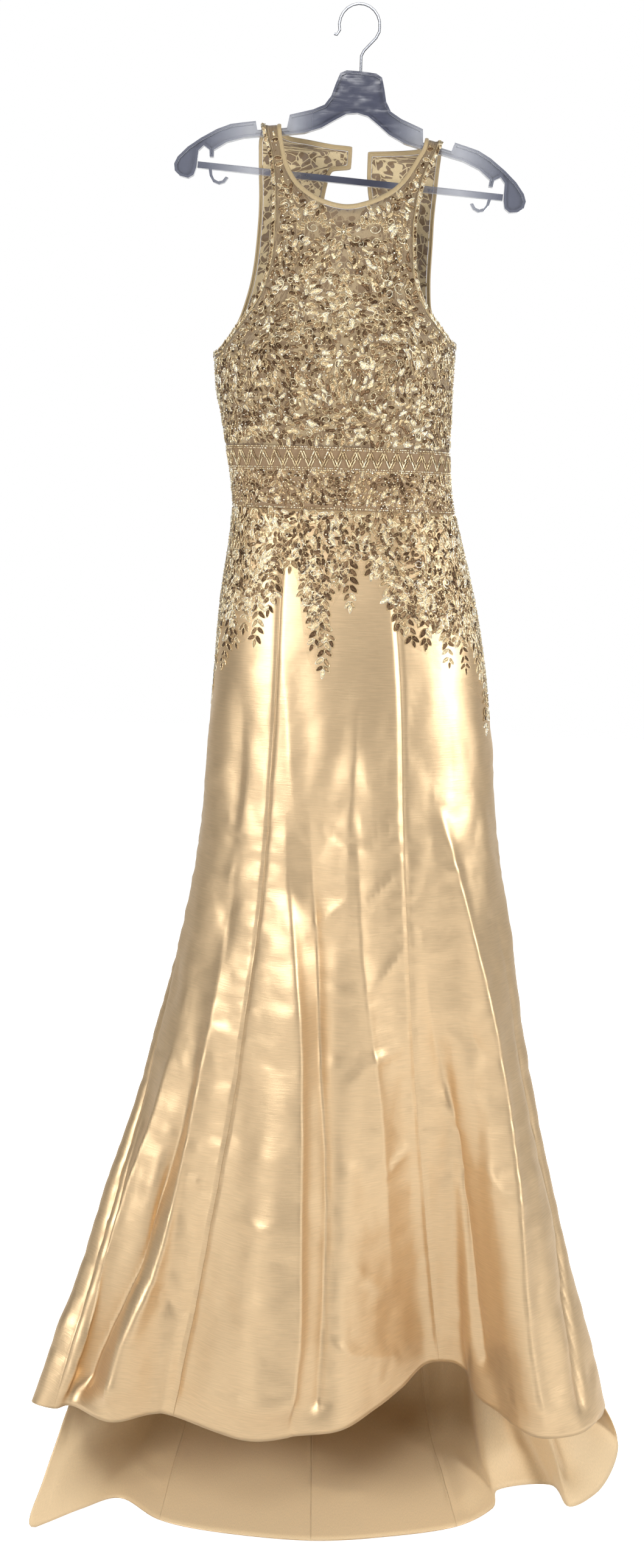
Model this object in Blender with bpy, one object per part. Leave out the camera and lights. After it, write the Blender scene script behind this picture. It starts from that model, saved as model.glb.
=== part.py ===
"""Trumpet gown of satin and beaded lace, hung by its shoulder straps on a clear hanger.

Metres, +Z up, the front of the gown toward -Y. The origin is on the underside of the
hanger hook's apex, where a rail would carry it. Angles of a ring are in degrees:
180 is the left side seam, 270 the centre front, 360 the right side seam, 450 the centre back.
"""
import math

import bmesh
import bpy
import mathutils
import numpy as np

# ---------------------------------------------------------------- driving sizes
SATIN = 0.0020           # wall of the skirt panels
NET = 0.0016             # wall of the lace and net pieces of the bodice
LACE = 0.0012            # wall of the hip lace laid on the skirt
SEAM = 0.0003            # space left between neighbouring pieces
LACE_LIFT = 0.0012       # space between the skirt and the beaded lace laid on it
WAIST_Z = -0.6025        # seam between midriff and skirt
MIDRIFF_Z = -0.5265      # seam between bodice and midriff
KNEE_Z = -1.000          # where the flare starts
FLOOR_Z = -1.9290        # middle of the wall where the train lies
FLARE = 1.30             # slope of the flare at its lower end, against its mean slope
BEND_RADIUS = 0.095      # how softly the train turns on to the floor
FULLNESS = 0.85          # 1 gives elliptic rings, less gives squarer ones
CUP_RISE = 0.020         # height of each bust cup
CUP_X, CUP_Z = 0.068, -0.436
CUP_WIDE, CUP_TALL = 0.036, 0.040
BINDING_WIDTH = 0.0050
LINING_DEPTH = 0.0045    # from the bodice to the lining behind it
GIRTH_Z = -0.360         # ring whose lengths measure the bodice pieces sideways
BINDING = 0.0026
STRAP_ROUND = 0.008      # radius of a strap over the hanger arm

# Sizes of the body, a row for each ring.
BODY_COLUMNS = ("z", "x_left", "x_right", "y_side", "y_front", "y_back")
BODY = (
    (-0.120, -0.1340, 0.1210, 0.000, -0.012, 0.016),
    (-0.180, -0.1370, 0.1250, 0.000, -0.028, 0.032),
    (-0.240, -0.1400, 0.1280, 0.000, -0.050, 0.048),
    (-0.300, -0.1450, 0.1300, 0.002, -0.067, 0.060),
    (-0.360, -0.1550, 0.1310, 0.005, -0.078, 0.067),
    (-0.414, -0.1650, 0.1325, 0.008, -0.084, 0.071),
    (-0.459, -0.1620, 0.1320, 0.008, -0.083, 0.071),
    (-0.488, -0.1550, 0.1320, 0.007, -0.080, 0.069),
    (-0.518, -0.1500, 0.1315, 0.006, -0.077, 0.067),
    (-0.548, -0.1440, 0.1335, 0.005, -0.073, 0.065),
    (-0.578, -0.1400, 0.1370, 0.005, -0.070, 0.064),
    (-0.603, -0.1375, 0.1420, 0.005, -0.069, 0.065),
    (-0.639, -0.1400, 0.1520, 0.006, -0.073, 0.073),
    (-0.685, -0.1460, 0.1650, 0.008, -0.080, 0.086),
    (-0.731, -0.1510, 0.1765, 0.011, -0.086, 0.099),
    (-0.810, -0.1560, 0.1915, 0.015, -0.092, 0.115),
    (-0.889, -0.1615, 0.2025, 0.018, -0.095, 0.124),
    (-0.969, -0.1670, 0.2115, 0.022, -0.097, 0.130),
    (-1.050, -0.1750, 0.2240, 0.026, -0.099, 0.135),
)

# Folds of the skirt, a row for each crest, valley and seam. "angle" is where it leaves the
# knee ring and "hem" where it ends. Where the cloth bends before its hem, "bend" is the place.
FOLD_COLUMNS = ("name", "angle", "hem_x", "hem_y", "hem_z", "bend_x", "bend_y", "bend_z")
FOLDS = (
    ("left_seam", 180.0, -0.335, -0.126, -1.770),
    ("left_valley", 187.0, -0.312, -0.118, -1.770),
    ("left_crest", 199.0, -0.258, -0.154, -1.770),
    ("left_dip", 217.0, -0.206, -0.131, -1.770),
    ("left_princess", 238.0, -0.178, -0.134, -1.770),
    ("centre_crest", 247.0, -0.084, -0.185, -1.770),
    ("centre_crease", 256.0, -0.018, -0.171, -1.770),
    ("centre_slope", 265.0, 0.040, -0.154, -1.770),
    ("centre_turn", 273.0, 0.088, -0.100, -1.767),
    ("notch_in", 280.0, 0.122, -0.060, -1.759),
    ("notch_left", 285.5, 0.151, -0.031, -1.743),
    ("right_princess", 290.5, 0.173, -0.025, -1.739),
    ("notch_right", 296.0, 0.196, -0.021, -1.743),
    ("notch_out", 302.0, 0.213, -0.028, -1.754),
    ("right_fold", 308.0, 0.219, -0.060, -1.765),
    ("right_slope", 315.0, 0.250, -0.099, -1.770),
    ("right_rise", 322.0, 0.276, -0.142, -1.770),
    ("right_crest", 330.0, 0.306, -0.156, -1.770),
    ("right_round", 340.0, 0.356, -0.137, -1.770),
    ("right_edge", 352.0, 0.393, -0.072, -1.770),
    ("right_seam", 360.0, 0.381, -0.010, -1.785, 0.365, 0.010, -1.720),
    ("lobe_top", 367.0, 0.418, 0.036, -1.840, 0.360, 0.070, -1.740),
    ("lobe_side", 373.0, 0.439, 0.048, -1.900, 0.350, 0.085, -1.770),
    ("lobe_low", 379.0, 0.407, -0.012, -1.927, 0.335, 0.075, -1.790),
    ("lobe_tip", 386.0, 0.357, -0.056, -1.928, 0.310, 0.050, -1.800),
    ("lobe_under", 394.0, 0.338, -0.004, FLOOR_Z, 0.290, 0.085, -1.860),
    ("flap_corner", 402.0, 0.264, -0.026, -1.925, 0.240, 0.085, -1.850),
    ("train_start", 411.0, 0.252, -0.064, FLOOR_Z, 0.230, 0.125, -1.915),
    ("right_back_seam", 424.0, 0.200, -0.108, FLOOR_Z, 0.172, 0.158, FLOOR_Z),
    ("train_right", 437.0, 0.110, -0.135, FLOOR_Z, 0.095, 0.175, FLOOR_Z),
    ("centre_back", 450.0, 0.006, -0.150, FLOOR_Z, 0.004, 0.180, FLOOR_Z),
    ("train_left", 463.0, -0.115, -0.139, FLOOR_Z, -0.105, 0.172, FLOOR_Z),
    ("left_back_seam", 476.0, -0.195, -0.116, FLOOR_Z, -0.178, 0.150, FLOOR_Z),
    ("train_end", 489.0, -0.252, -0.070, FLOOR_Z, -0.222, 0.112, -1.915),
    ("flute_under", 500.0, -0.300, -0.098, FLOOR_Z, -0.232, 0.068, -1.860),
    ("flute_tip", 509.0, -0.360, -0.146, -1.926, -0.243, 0.030, -1.795),
    ("flute_hem", 516.0, -0.348, -0.108, -1.876, -0.268, 0.008, -1.780),
    ("flute_top", 522.0, -0.328, -0.064, -1.812, -0.292, -0.006, -1.750),
    ("left_tuck", 528.0, -0.326, -0.034, -1.784, -0.316, -0.010, -1.740),
    ("left_edge", 534.0, -0.366, -0.106, -1.770),
)
COLUMNS_PER_FOLD = 2
UPPER_ROWS = (0.0, 0.12, 0.26, 0.44, 0.70)
LOWER_ROWS = (0.0, 0.12, 0.24, 0.36, 0.47, 0.57, 0.66, 0.74, 0.81, 0.87, 0.92, 0.96, 1.0)

# Edges of the bodice as seen from the front, x and z. LEFT, RIGHT and CENTRE stand for the side
# seams and the centre back at that height, "bound" for the share of the binding's width there.
LEFT, RIGHT, CENTRE = "left side", "right side", "centre"
# "mid" bows the cloth's own lines between the two edges, where they would leave the piece.
EDGE_COLUMNS = ("inner_x", "inner_z", "inner_bound", "outer_x", "outer_z", "outer_bound", "mid")
FRONT_LEFT = (
    (-0.0915, -0.1415, 1, -0.1145, -0.1435, 1),
    (-0.0912, -0.1432, 1, -0.1141, -0.1452, 1),
    (-0.0909, -0.1470, 1, -0.1133, -0.1490, 1),
    (-0.0898, -0.1550, 1, -0.1105, -0.1610, 1),
    (-0.0870, -0.1690, 1, -0.1035, -0.1840, 1),
    (-0.0820, -0.1880, 1, -0.0990, -0.2150, 1),
    (-0.0710, -0.2090, 1, -0.0975, -0.2550, 1),
    (-0.0590, -0.2210, 1, -0.0985, -0.2950, 1),
    (-0.0500, -0.2275, 1, -0.1070, -0.3370, 1, (-0.0770, -0.2950)),
    (-0.0450, -0.2305, 1, -0.1280, -0.3740, 1, (-0.0800, -0.3450)),
    (-0.0420, -0.2320, 1, -0.1390, -0.3890, 1, (-0.0830, -0.3740)),
    (-0.0400, -0.2330, 1, -0.1500, -0.4040, 1, (-0.0860, -0.3990)),
    (-0.0385, -0.2337, 1, -0.1580, -0.4120, 1, (-0.0880, -0.4230)),
    (-0.0370, -0.2343, 1, LEFT, -0.4160, 0.3, (-0.0900, -0.4600)),
    (-0.0362, -0.2346, 1, LEFT, -0.4190, 0, (-0.0900, -0.4640)),
    (-0.0330, -0.2355, 1, LEFT, -0.4600, 0, (-0.0850, -0.4790)),
    (-0.0290, -0.2368, 1, LEFT, MIDRIFF_Z, 0, (-0.0750, -0.4900)),
    (-0.0240, -0.2382, 1, -0.1180, MIDRIFF_Z, 0, (-0.0580, -0.4600)),
    (-0.0190, -0.2392, 1, -0.0750, MIDRIFF_Z, 0, (-0.0400, -0.4300)),
    (-0.0140, -0.2399, 1, -0.0400, MIDRIFF_Z, 0, (-0.0250, -0.4000)),
)
FRONT_RIGHT = (
    (-0.0085, -0.2402, 1, -0.0085, MIDRIFF_Z, 0, (-0.0085, -0.3850)),
    (-0.0020, -0.2397, 1, 0.0230, MIDRIFF_Z, 0, (0.0060, -0.4000)),
    (0.0040, -0.2387, 1, 0.0570, MIDRIFF_Z, 0, (0.0220, -0.4300)),
    (0.0100, -0.2370, 1, 0.1000, MIDRIFF_Z, 0, (0.0370, -0.4550)),
    (0.0150, -0.2354, 1, RIGHT, MIDRIFF_Z, 0, (0.0500, -0.4750)),
    (0.0190, -0.2340, 1, RIGHT, -0.4550, 0, (0.0580, -0.4720)),
    (0.0230, -0.2324, 1, RIGHT, -0.4000, 0, (0.0620, -0.4570)),
    (0.0240, -0.2320, 1, RIGHT, -0.3970, 0.3, (0.0620, -0.4530)),
    (0.0265, -0.2309, 1, 0.1250, -0.3920, 1, (0.0600, -0.4150)),
    (0.0300, -0.2292, 1, 0.1170, -0.3835, 1, (0.0580, -0.3900)),
    (0.0340, -0.2268, 1, 0.1060, -0.3720, 1, (0.0570, -0.3650)),
    (0.0400, -0.2232, 1, 0.0900, -0.3490, 1, (0.0560, -0.3300)),
    (0.0490, -0.2165, 1, 0.0790, -0.3140, 1, (0.0540, -0.2640)),
    (0.0600, -0.2040, 1, 0.0770, -0.2700, 1),
    (0.0690, -0.1895, 1, 0.0805, -0.2320, 1),
    (0.0770, -0.1750, 1, 0.0885, -0.1990, 1),
    (0.0820, -0.1660, 1, 0.0985, -0.1760, 1),
    (0.0840, -0.1575, 1, 0.1035, -0.1625, 1),
    (0.0848, -0.1537, 1, 0.1047, -0.1587, 1),
    (0.0855, -0.1520, 1, 0.1055, -0.1570, 1),
)
BACK_LEFT = (
    (-0.0915, -0.1415, 1, -0.1145, -0.1435, 1),
    (-0.0910, -0.1432, 1, -0.1150, -0.1452, 1),
    (-0.0893, -0.1462, 1, -0.1162, -0.1490, 1),
    (-0.0800, -0.1500, 1, -0.1178, -0.1580, 1),
    (-0.0590, -0.1525, 1, -0.1180, -0.1640, 1),
    (-0.0290, -0.1565, 1, -0.1178, -0.1690, 1),
    (-0.0035, -0.1590, 1, -0.1177, -0.1740, 1),
    (-0.0045, -0.1830, 1, -0.1174, -0.1880, 1),
    (-0.0270, -0.1870, 1, -0.1170, -0.1990, 1),
    (-0.0330, -0.2020, 1, -0.1163, -0.2210, 1),
    (-0.0370, -0.2250, 1, -0.1168, -0.2480, 1),
    (-0.0390, -0.2550, 1, -0.1190, -0.2800, 1),
    (-0.0350, -0.2880, 1, -0.1240, -0.3180, 1),
    (-0.0240, -0.3160, 1, -0.1340, -0.3560, 1),
    (CENTRE, -0.3330, 0.4, -0.1475, -0.3870, 1, (-0.0850, -0.3720)),
    (CENTRE, -0.3360, 0, -0.1575, -0.4050, 1, (-0.0880, -0.3900)),
    (CENTRE, -0.3400, 0, LEFT, -0.4160, 0.3, (-0.0900, -0.4030)),
    (CENTRE, -0.3500, 0, LEFT, -0.4190, 0, (-0.0900, -0.4100)),
    (CENTRE, -0.4300, 0, LEFT, -0.4600, 0),
    (CENTRE, MIDRIFF_Z, 0, LEFT, MIDRIFF_Z, 0),
)
BACK_RIGHT = (
    (0.0855, -0.1520, 1, 0.1055, -0.1570, 1),
    (0.0848, -0.1537, 1, 0.1058, -0.1587, 1),
    (0.0835, -0.1565, 1, 0.1058, -0.1625, 1),
    (0.0760, -0.1600, 1, 0.1055, -0.1710, 1),
    (0.0600, -0.1615, 1, 0.1050, -0.1770, 1),
    (0.0390, -0.1625, 1, 0.1045, -0.1830, 1),
    (0.0165, -0.1640, 1, 0.1040, -0.1900, 1),
    (0.0165, -0.1880, 1, 0.1030, -0.2080, 1),
    (0.0180, -0.2060, 1, 0.1020, -0.2220, 1),
    (0.0215, -0.2270, 1, 0.1012, -0.2420, 1),
    (0.0235, -0.2550, 1, 0.1010, -0.2700, 1),
    (0.0200, -0.2880, 1, 0.1005, -0.3060, 1),
    (0.0080, -0.3160, 1, 0.1025, -0.3430, 1),
    (CENTRE, -0.3330, 0.4, 0.1110, -0.3650, 1, (0.0600, -0.3560)),
    (CENTRE, -0.3360, 0, 0.1220, -0.3820, 1, (0.0620, -0.3720)),
    (CENTRE, -0.3400, 0, RIGHT, -0.3970, 0.3, (0.0660, -0.3860)),
    (CENTRE, -0.3500, 0, RIGHT, -0.4000, 0, (0.0660, -0.3940)),
    (CENTRE, -0.4300, 0, RIGHT, -0.4500, 0),
    (CENTRE, MIDRIFF_Z, 0, RIGHT, MIDRIFF_Z, 0),
)
UNDERARM_BOUND = 0.3   # marks the row where each armhole meets its side seam

# Upper edge of the bust lining, seen through the net.
SWEETHEART_COLUMNS = ("angle", "z")
SWEETHEART = (
    (180.0, -0.4250), (188.0, -0.4230), (196.0, -0.4190), (206.0, -0.4070), (216.0, -0.3920),
    (226.0, -0.3780), (238.5, -0.3690), (254.0, -0.3730), (266.0, -0.3960), (272.7, -0.4250),
    (278.0, -0.3950), (290.0, -0.3670), (306.0, -0.3600), (317.0, -0.3690), (326.0, -0.3850),
    (337.0, -0.3980), (347.0, -0.4040), (360.0, -0.4060),
)

# Lower edge of the hip lace, pointed where its sprays hang lowest.
HIP_LACE_COLUMNS = ("angle", "z")
HIP_LACE = (
    (180.0, -0.905), (187.0, -0.862), (199.0, -0.800), (208.0, -0.768), (217.0, -0.782),
    (227.5, -0.745), (238.0, -0.700), (242.5, -0.684), (247.0, -0.708), (251.5, -0.790),
    (256.0, -0.816), (260.5, -0.745), (265.0, -0.722), (269.0, -0.705), (273.0, -0.690),
    (280.0, -0.694), (285.5, -0.722), (290.5, -0.762), (296.0, -0.778), (302.0, -0.784),
    (308.0, -0.802), (315.0, -0.812), (322.0, -0.822), (330.0, -0.828), (340.0, -0.848),
    (352.0, -0.885), (360.0, -0.905), (373.0, -0.840), (386.0, -0.790), (402.0, -0.755),
    (424.0, -0.735), (437.0, -0.760), (450.0, -0.790), (463.0, -0.760), (476.0, -0.735),
    (500.0, -0.755), (516.0, -0.790), (528.0, -0.840), (540.0, -0.905),
)

# The hanger, seen from the front with the underside of its neck at 0, 0, in millimetres.
HANGER_COLUMNS = ("x", "z")
HANGER_HALF = (
    (0.0, 47.5), (18.0, 47.0), (25.5, 43.0), (29.5, 31.0), (33.5, 16.0), (40.5, 5.0),
    (54.0, -2.0), (74.0, -8.5), (81.5, -11.0), (83.5, -26.4), (119.0, -32.8), (122.0, -22.5),
    (139.0, -26.0), (152.0, -29.0), (168.0, -36.5), (187.0, -49.0), (202.0, -61.0),
    (213.0, -73.5), (216.5, -82.0), (215.0, -90.0), (208.0, -95.5), (198.0, -97.0),
    (191.5, -92.5), (189.0, -83.0), (188.3, -63.5), (182.5, -57.0), (175.0, -61.5),
    (174.0, -69.5), (169.0, -69.0), (169.5, -61.0), (155.0, -50.5), (134.5, -43.0),
    (110.0, -38.5), (82.0, -34.0), (61.5, -30.0), (41.0, -21.5), (25.7, -11.0),
    (12.8, -2.8), (0.0, -0.5),
)
HANGER_NECK = (0.0011, -0.1242)   # world x and z of that 0, 0
HANGER_TILT = math.radians(4.0)   # the right end hangs lower
RIM, WEB = 0.0084, 0.0030         # thickness of the rim and of the web inside it
RIM_WIDTH = 0.0030
BAR_Z, BAR_TALL, BAR_THICK = -0.0800, 0.0075, 0.0060
WIRE = 0.0016                     # radius of the hook wire
HOOK_BEND = 0.0245                # radius of the hook at the middle of its wire
ZIP_Z = -0.3455                   # height of the slider, at the top of the centre back zip
ZIP_LIFT = 0.0010                 # from the cloth to the slider
PIVOT_LIFT = 0.0034               # from the slider's underside to the axis of its pull tab
PULL_LONG = 0.0160

MATERIALS = {
    "champagne_satin": ((0.78, 0.60, 0.37), 0.33, 0.0),
    "beaded_lace": ((0.66, 0.52, 0.33), 0.42, 0.0),
    "lining": ((0.72, 0.52, 0.36), 0.75, 0.0),
    "binding": ((0.74, 0.58, 0.34), 0.60, 0.0),
    "clear_plastic": ((0.62, 0.65, 0.69), 0.12, 0.0),
    "chrome": ((0.72, 0.73, 0.75), 0.16, 1.0),
    "zip_metal": ((0.80, 0.69, 0.47), 0.25, 1.0),
}


# ---------------------------------------------------------------- curves through tables
def steady(xs, ys, at):
    """A smooth curve through a table that never overshoots its rows."""
    xs, ys, at = (np.asarray(v, float) for v in (xs, ys, at))
    step = np.diff(xs)
    rise = np.diff(ys) / step
    slope = np.zeros_like(ys)
    same = rise[:-1] * rise[1:] > 0
    one, two = 2 * step[1:] + step[:-1], step[1:] + 2 * step[:-1]
    safe = np.where(same, rise[:-1], 1.0), np.where(same, rise[1:], 1.0)
    slope[1:-1] = np.where(same, (one + two) / (one / safe[0] + two / safe[1]), 0.0)
    slope[0], slope[-1] = rise[0], rise[-1]
    i = np.clip(np.searchsorted(xs, at, side="right") - 1, 0, len(xs) - 2)
    h = step[i]
    t = np.clip((at - xs[i]) / h, 0.0, 1.0)
    return (
        (2 * t**3 - 3 * t**2 + 1) * ys[i]
        + (t**3 - 2 * t**2 + t) * h * slope[i]
        + (3 * t**2 - 2 * t**3) * ys[i + 1]
        + (t**3 - t**2) * h * slope[i + 1]
    )


def body(column, z):
    """One size of the body's rings at the heights z."""
    rows = np.array(BODY)[::-1]
    return steady(rows[:, 0], rows[:, BODY_COLUMNS.index(column)], z)


def shoulder_z(x):
    """Height of the line where each strap crosses its hanger arm."""
    return np.where(x < 0, -0.1415 + 0.087 * (x + 0.0915), -0.1520 - 0.25 * (x - 0.0855))


def ring(angle, z):
    """Points of the gown's upper body at ring angles and heights."""
    angle, z = np.broadcast_arrays(np.asarray(angle, float), np.asarray(z, float))
    c, s = np.cos(np.radians(angle)), np.sin(np.radians(angle))
    left, right = body("x_left", z), body("x_right", z)
    x = (left + right) / 2 + (right - left) / 2 * c
    side = body("y_side", z)
    depth = np.where(s < 0, body("y_front", z), body("y_back", z)) - side
    y = side + depth * np.abs(s) ** FULLNESS
    for cup in (-CUP_X, CUP_X):
        off = ((x - (left + right) / 2 - cup) / CUP_WIDE) ** 2 + ((z - CUP_Z) / CUP_TALL) ** 2
        y = y - np.where(s < 0, CUP_RISE * np.exp(-off / 2) * np.abs(s) ** 0.5, 0.0)
    below = np.clip((shoulder_z(x) - z) / STRAP_ROUND, 0.0, 1.0)
    return np.stack([x, y * np.sqrt(1 - (1 - below) ** 2), z], -1)


def ring_angle(x, z, back):
    """The ring angle of a point given by x and z, on the front or on the back."""
    left, right = body("x_left", z), body("x_right", z)
    c = np.clip((x - (left + right) / 2) * 2 / (right - left), -1.0, 1.0)
    angle = np.degrees(np.arccos(c))
    return 360 + angle if back else 360 - angle


def girth_table():
    """Ring angles and the lengths to them round the bodice, from its left side seam."""
    angle = np.arange(180.0, 540.01, 0.25)
    points = ring(angle, GIRTH_Z)[:, :2]
    length = np.concatenate([[0.0], np.cumsum(np.linalg.norm(np.diff(points, axis=0), axis=1))])
    return angle, length


# ---------------------------------------------------------------- the skirt
def fold_row(name):
    return [row[0] for row in FOLDS].index(name)


def fold_values(place):
    """Ring angle, hem and bend at places along the fold table, which closes on itself."""
    place = np.asarray(place, float)
    count = len(FOLDS)
    angle = np.array([row[1] for row in FOLDS])
    hem = np.array([row[2:5] for row in FOLDS])
    bend = np.array([row[5:8] if len(row) > 5 else row[2:5] for row in FOLDS])
    i = np.floor(place).astype(int)
    t = (place - i)[:, None]
    around = np.concatenate([angle[-3:] - 360, angle, angle[:4] + 360])
    at = np.arange(len(around)) - 3.0
    turned = steady(at, around, np.mod(place, count)) + 360 * (place // count)
    found = []
    for values in (hem, bend):
        a, b, c, d = (values[(i + k) % count] for k in (-1, 0, 1, 2))
        found.append(
            0.5 * (2 * b + (c - a) * t + (2 * a - 5 * b + 4 * c - d) * t**2 + (3 * b - a - 3 * c + d) * t**3)
        )
    return turned, found[0], found[1]


def fall(place):
    """The lines that the cloth follows from the knee ring to the hem, one for each place."""
    angle, hem, bend = fold_values(place)
    top = ring(angle, KNEE_Z)
    start = (ring(angle, KNEE_Z + 0.01) - ring(angle, KNEE_Z - 0.01)) / 0.02
    start = start * (bend[:, 2:] - KNEE_Z)
    end = FLARE * (bend - top)
    end[:, 2] = bend[:, 2] - KNEE_Z
    lie = np.linalg.norm(hem - bend, axis=1)
    turn = np.minimum(BEND_RADIUS, 0.5 * lie)
    cut = 1 - turn / np.linalg.norm(bend - top, axis=1)
    s = np.linspace(0, 1, 50)[:, None, None] * cut[None, :, None]
    leg = (
        (2 * s**3 - 3 * s**2 + 1) * top
        + (s**3 - 2 * s**2 + s) * start
        + (3 * s**2 - 2 * s**3) * bend
        + (s**3 - s**2) * end
    )
    out = (hem - bend) / np.maximum(lie, 1e-9)[:, None]
    landed = bend + out * turn[:, None]
    q = np.linspace(0, 1, 12)[1:, None, None]
    arc = leg[-1] * (1 - q) ** 2 + bend * 2 * q * (1 - q) + landed * q**2
    r = np.linspace(0, 1, 10)[1:, None, None]
    rest = landed + (hem - landed) * r
    line = np.concatenate([leg, arc, rest])
    line[..., 2] = np.maximum(line[..., 2], FLOOR_Z)
    return line


def skirt(place, down):
    """Points of the skirt: down runs 0 to 1 from waist to knee ring and 1 to 2 on to the hem."""
    place, down = np.asarray(place, float), np.asarray(down, float)
    angle = fold_values(place)[0]
    line = fall(place)
    reach = np.concatenate(
        [np.zeros((1, len(place))), np.cumsum(np.linalg.norm(np.diff(line, axis=0), axis=2), axis=0)]
    )
    grid = np.empty((len(place), len(down), 3))
    upper = down <= 1
    heights = WAIST_Z + (KNEE_Z - WAIST_Z) * np.maximum(down[upper], 0)
    grid[:, upper] = ring(angle[:, None], heights[None, :])
    for i in range(len(place)):
        along = np.minimum(down[~upper] - 1, 1) * reach[-1, i]
        for k in range(3):
            grid[i, ~upper, k] = np.interp(along, reach[:, i], line[:, i, k])
    return grid


def outward(along, downward):
    normal = np.cross(along, -downward)
    return normal / np.linalg.norm(normal, axis=-1, keepdims=True)


def skirt_normals(place, down):
    a, b = 0.02, 0.004
    along = skirt(place + a, down) - skirt(place - a, down)
    low = skirt(place, np.minimum(down + b, 2.0))
    high = skirt(place, np.maximum(down - b, 0.0))
    return outward(along, low - high)


def skirt_down_of(z):
    return (WAIST_Z - z) / (WAIST_Z - KNEE_Z)


# ---------------------------------------------------------------- the bodice
def edge_rows(table, back):
    """A table's inner edge, outer edge and middle as lengths round the bodice and heights."""
    angles, lengths = girth_table()
    points = []
    for row in table:
        found = []
        for x, z in ((row[0], row[1]), (row[3], row[4])) + tuple(row[6:]):
            if x in (LEFT, RIGHT):
                x = float(body("x_left" if x == LEFT else "x_right", z))
            elif x == CENTRE:
                x = float(body("x_left", z) + body("x_right", z)) / 2
            found.append((np.interp(ring_angle(x, z, back), angles, lengths), z))
        if len(found) < 3:
            found.append(tuple((a + b) / 2 for a, b in zip(*found)))
        points.append(found)
    bound = np.array([(row[2], row[5]) for row in table], float) * BINDING_WIDTH
    return np.array(points), bound


def inset(line, width, toward):
    """A line in x and z moved sideways by a width at each of its points, toward another line."""
    ahead = np.diff(line, axis=0)
    ahead = ahead / np.linalg.norm(ahead, axis=1, keepdims=True)
    before = np.vstack([ahead[:1], ahead])
    after = np.vstack([ahead, ahead[-1:]])
    mean = before + after
    mean = mean / np.maximum(np.linalg.norm(mean, axis=1, keepdims=True), 1e-6)
    side = np.stack([-mean[:, 1], mean[:, 0]], 1)
    side = side * np.sign((side * (toward - line)).sum())
    lengthen = 1 / np.maximum(np.abs((mean * after).sum(1)), 0.6)
    return line + side * (width * lengthen)[:, None]


class Bodice:
    """One piece of the bodice, between an inner and an outer edge, and the bindings on them."""

    def __init__(self, table, back, first_half, last_half):
        points, bound = edge_rows(table, back)
        self.back = back
        self.rows = len(table)
        whole = np.arange(self.rows, dtype=float)
        self.t = np.sort(np.concatenate([whole, np.arange(first_half, last_half) + 0.5]))
        self.underarms = [i for i, row in enumerate(table) if row[5] == UNDERARM_BOUND]
        inner, outer = points[:, 0], points[:, 1]
        self.edges = {
            "inner": inner,
            "outer": outer,
            "mid": points[:, 2],
            "inner_net": inset(inner, np.where(bound[:, 0] > 0, bound[:, 0] + 2.0 * SEAM, 0), outer),
            "outer_net": inset(outer, np.where(bound[:, 1] > 0, bound[:, 1] + 2.0 * SEAM, 0), inner),
            "inner_bound": inset(inner, bound[:, 0], outer),
            "outer_bound": inset(outer, bound[:, 1], inner),
        }

    def curve(self, edge, t):
        """Length round the bodice and height along an edge, t counting the rows of its table."""
        at = np.arange(self.rows, dtype=float)
        line = self.edges[edge]
        return steady(at, line[:, 0], t), steady(at, line[:, 1], t)

    def grid(self, first, last, t, s):
        """Ring angles and heights of a grid between two edges."""
        angles, lengths = girth_table()
        a, b = (np.stack(self.curve(edge, t), -1)[:, None] for edge in (first, last))
        s = np.asarray(s)[None, :, None]
        line = a * (1 - s) + b * s
        if last == "outer_net":
            mid = np.stack(self.curve("mid", t), -1)[:, None]
            line = a * (1 - s) ** 2 + mid * 2 * s * (1 - s) + b * s**2
        return np.interp(line[..., 0], lengths, angles), line[..., 1]


def ring_normals(angle, z):
    da, dz = 0.2, 0.0002
    along = ring(angle + da, z) - ring(angle - da, z)
    lower = ring(angle, z - dz)
    upper = ring(angle, z + dz)
    return outward(along, lower - upper)


# ---------------------------------------------------------------- building
def clear_scene():
    for thing in list(bpy.data.objects):
        bpy.data.objects.remove(thing, do_unlink=True)
    for group in list(bpy.data.collections):
        bpy.data.collections.remove(group)


def make_materials():
    made = {}
    for name, (colour, roughness, metallic) in MATERIALS.items():
        material = bpy.data.materials.new(name)
        material.use_nodes = True
        shader = material.node_tree.nodes["Principled BSDF"]
        shader.inputs["Base Color"].default_value = (*colour, 1.0)
        shader.inputs["Roughness"].default_value = roughness
        shader.inputs["Metallic"].default_value = metallic
        material.diffuse_color = (*colour, 1.0)
        made[name] = material
    return made


def add_mesh(name, mesh, group, material):
    thing = bpy.data.objects.new(name, mesh)
    group.objects.link(thing)
    mesh.materials.append(material)
    return thing


def drawn_in(points, ends, sides):
    """A grid with its chosen edges moved half a seam inward, square to each edge."""
    points = points.copy()
    for axis, wanted in ((0, ends), (1, sides)):
        moved = np.moveaxis(points, axis, 0)
        for edge, inside, on in ((0, 1, wanted[0]), (-1, -2, wanted[1])):
            if on:
                along = np.gradient(moved[edge], axis=0)
                along = along / np.maximum(np.linalg.norm(along, axis=-1, keepdims=True), 1e-9)
                step = moved[inside] - moved[edge]
                step = step - along * (step * along).sum(-1, keepdims=True)
                step = step / np.maximum(np.linalg.norm(step, axis=-1, keepdims=True), 1e-9)
                moved[edge] = moved[edge] + step * SEAM * 0.55
    return points


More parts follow.
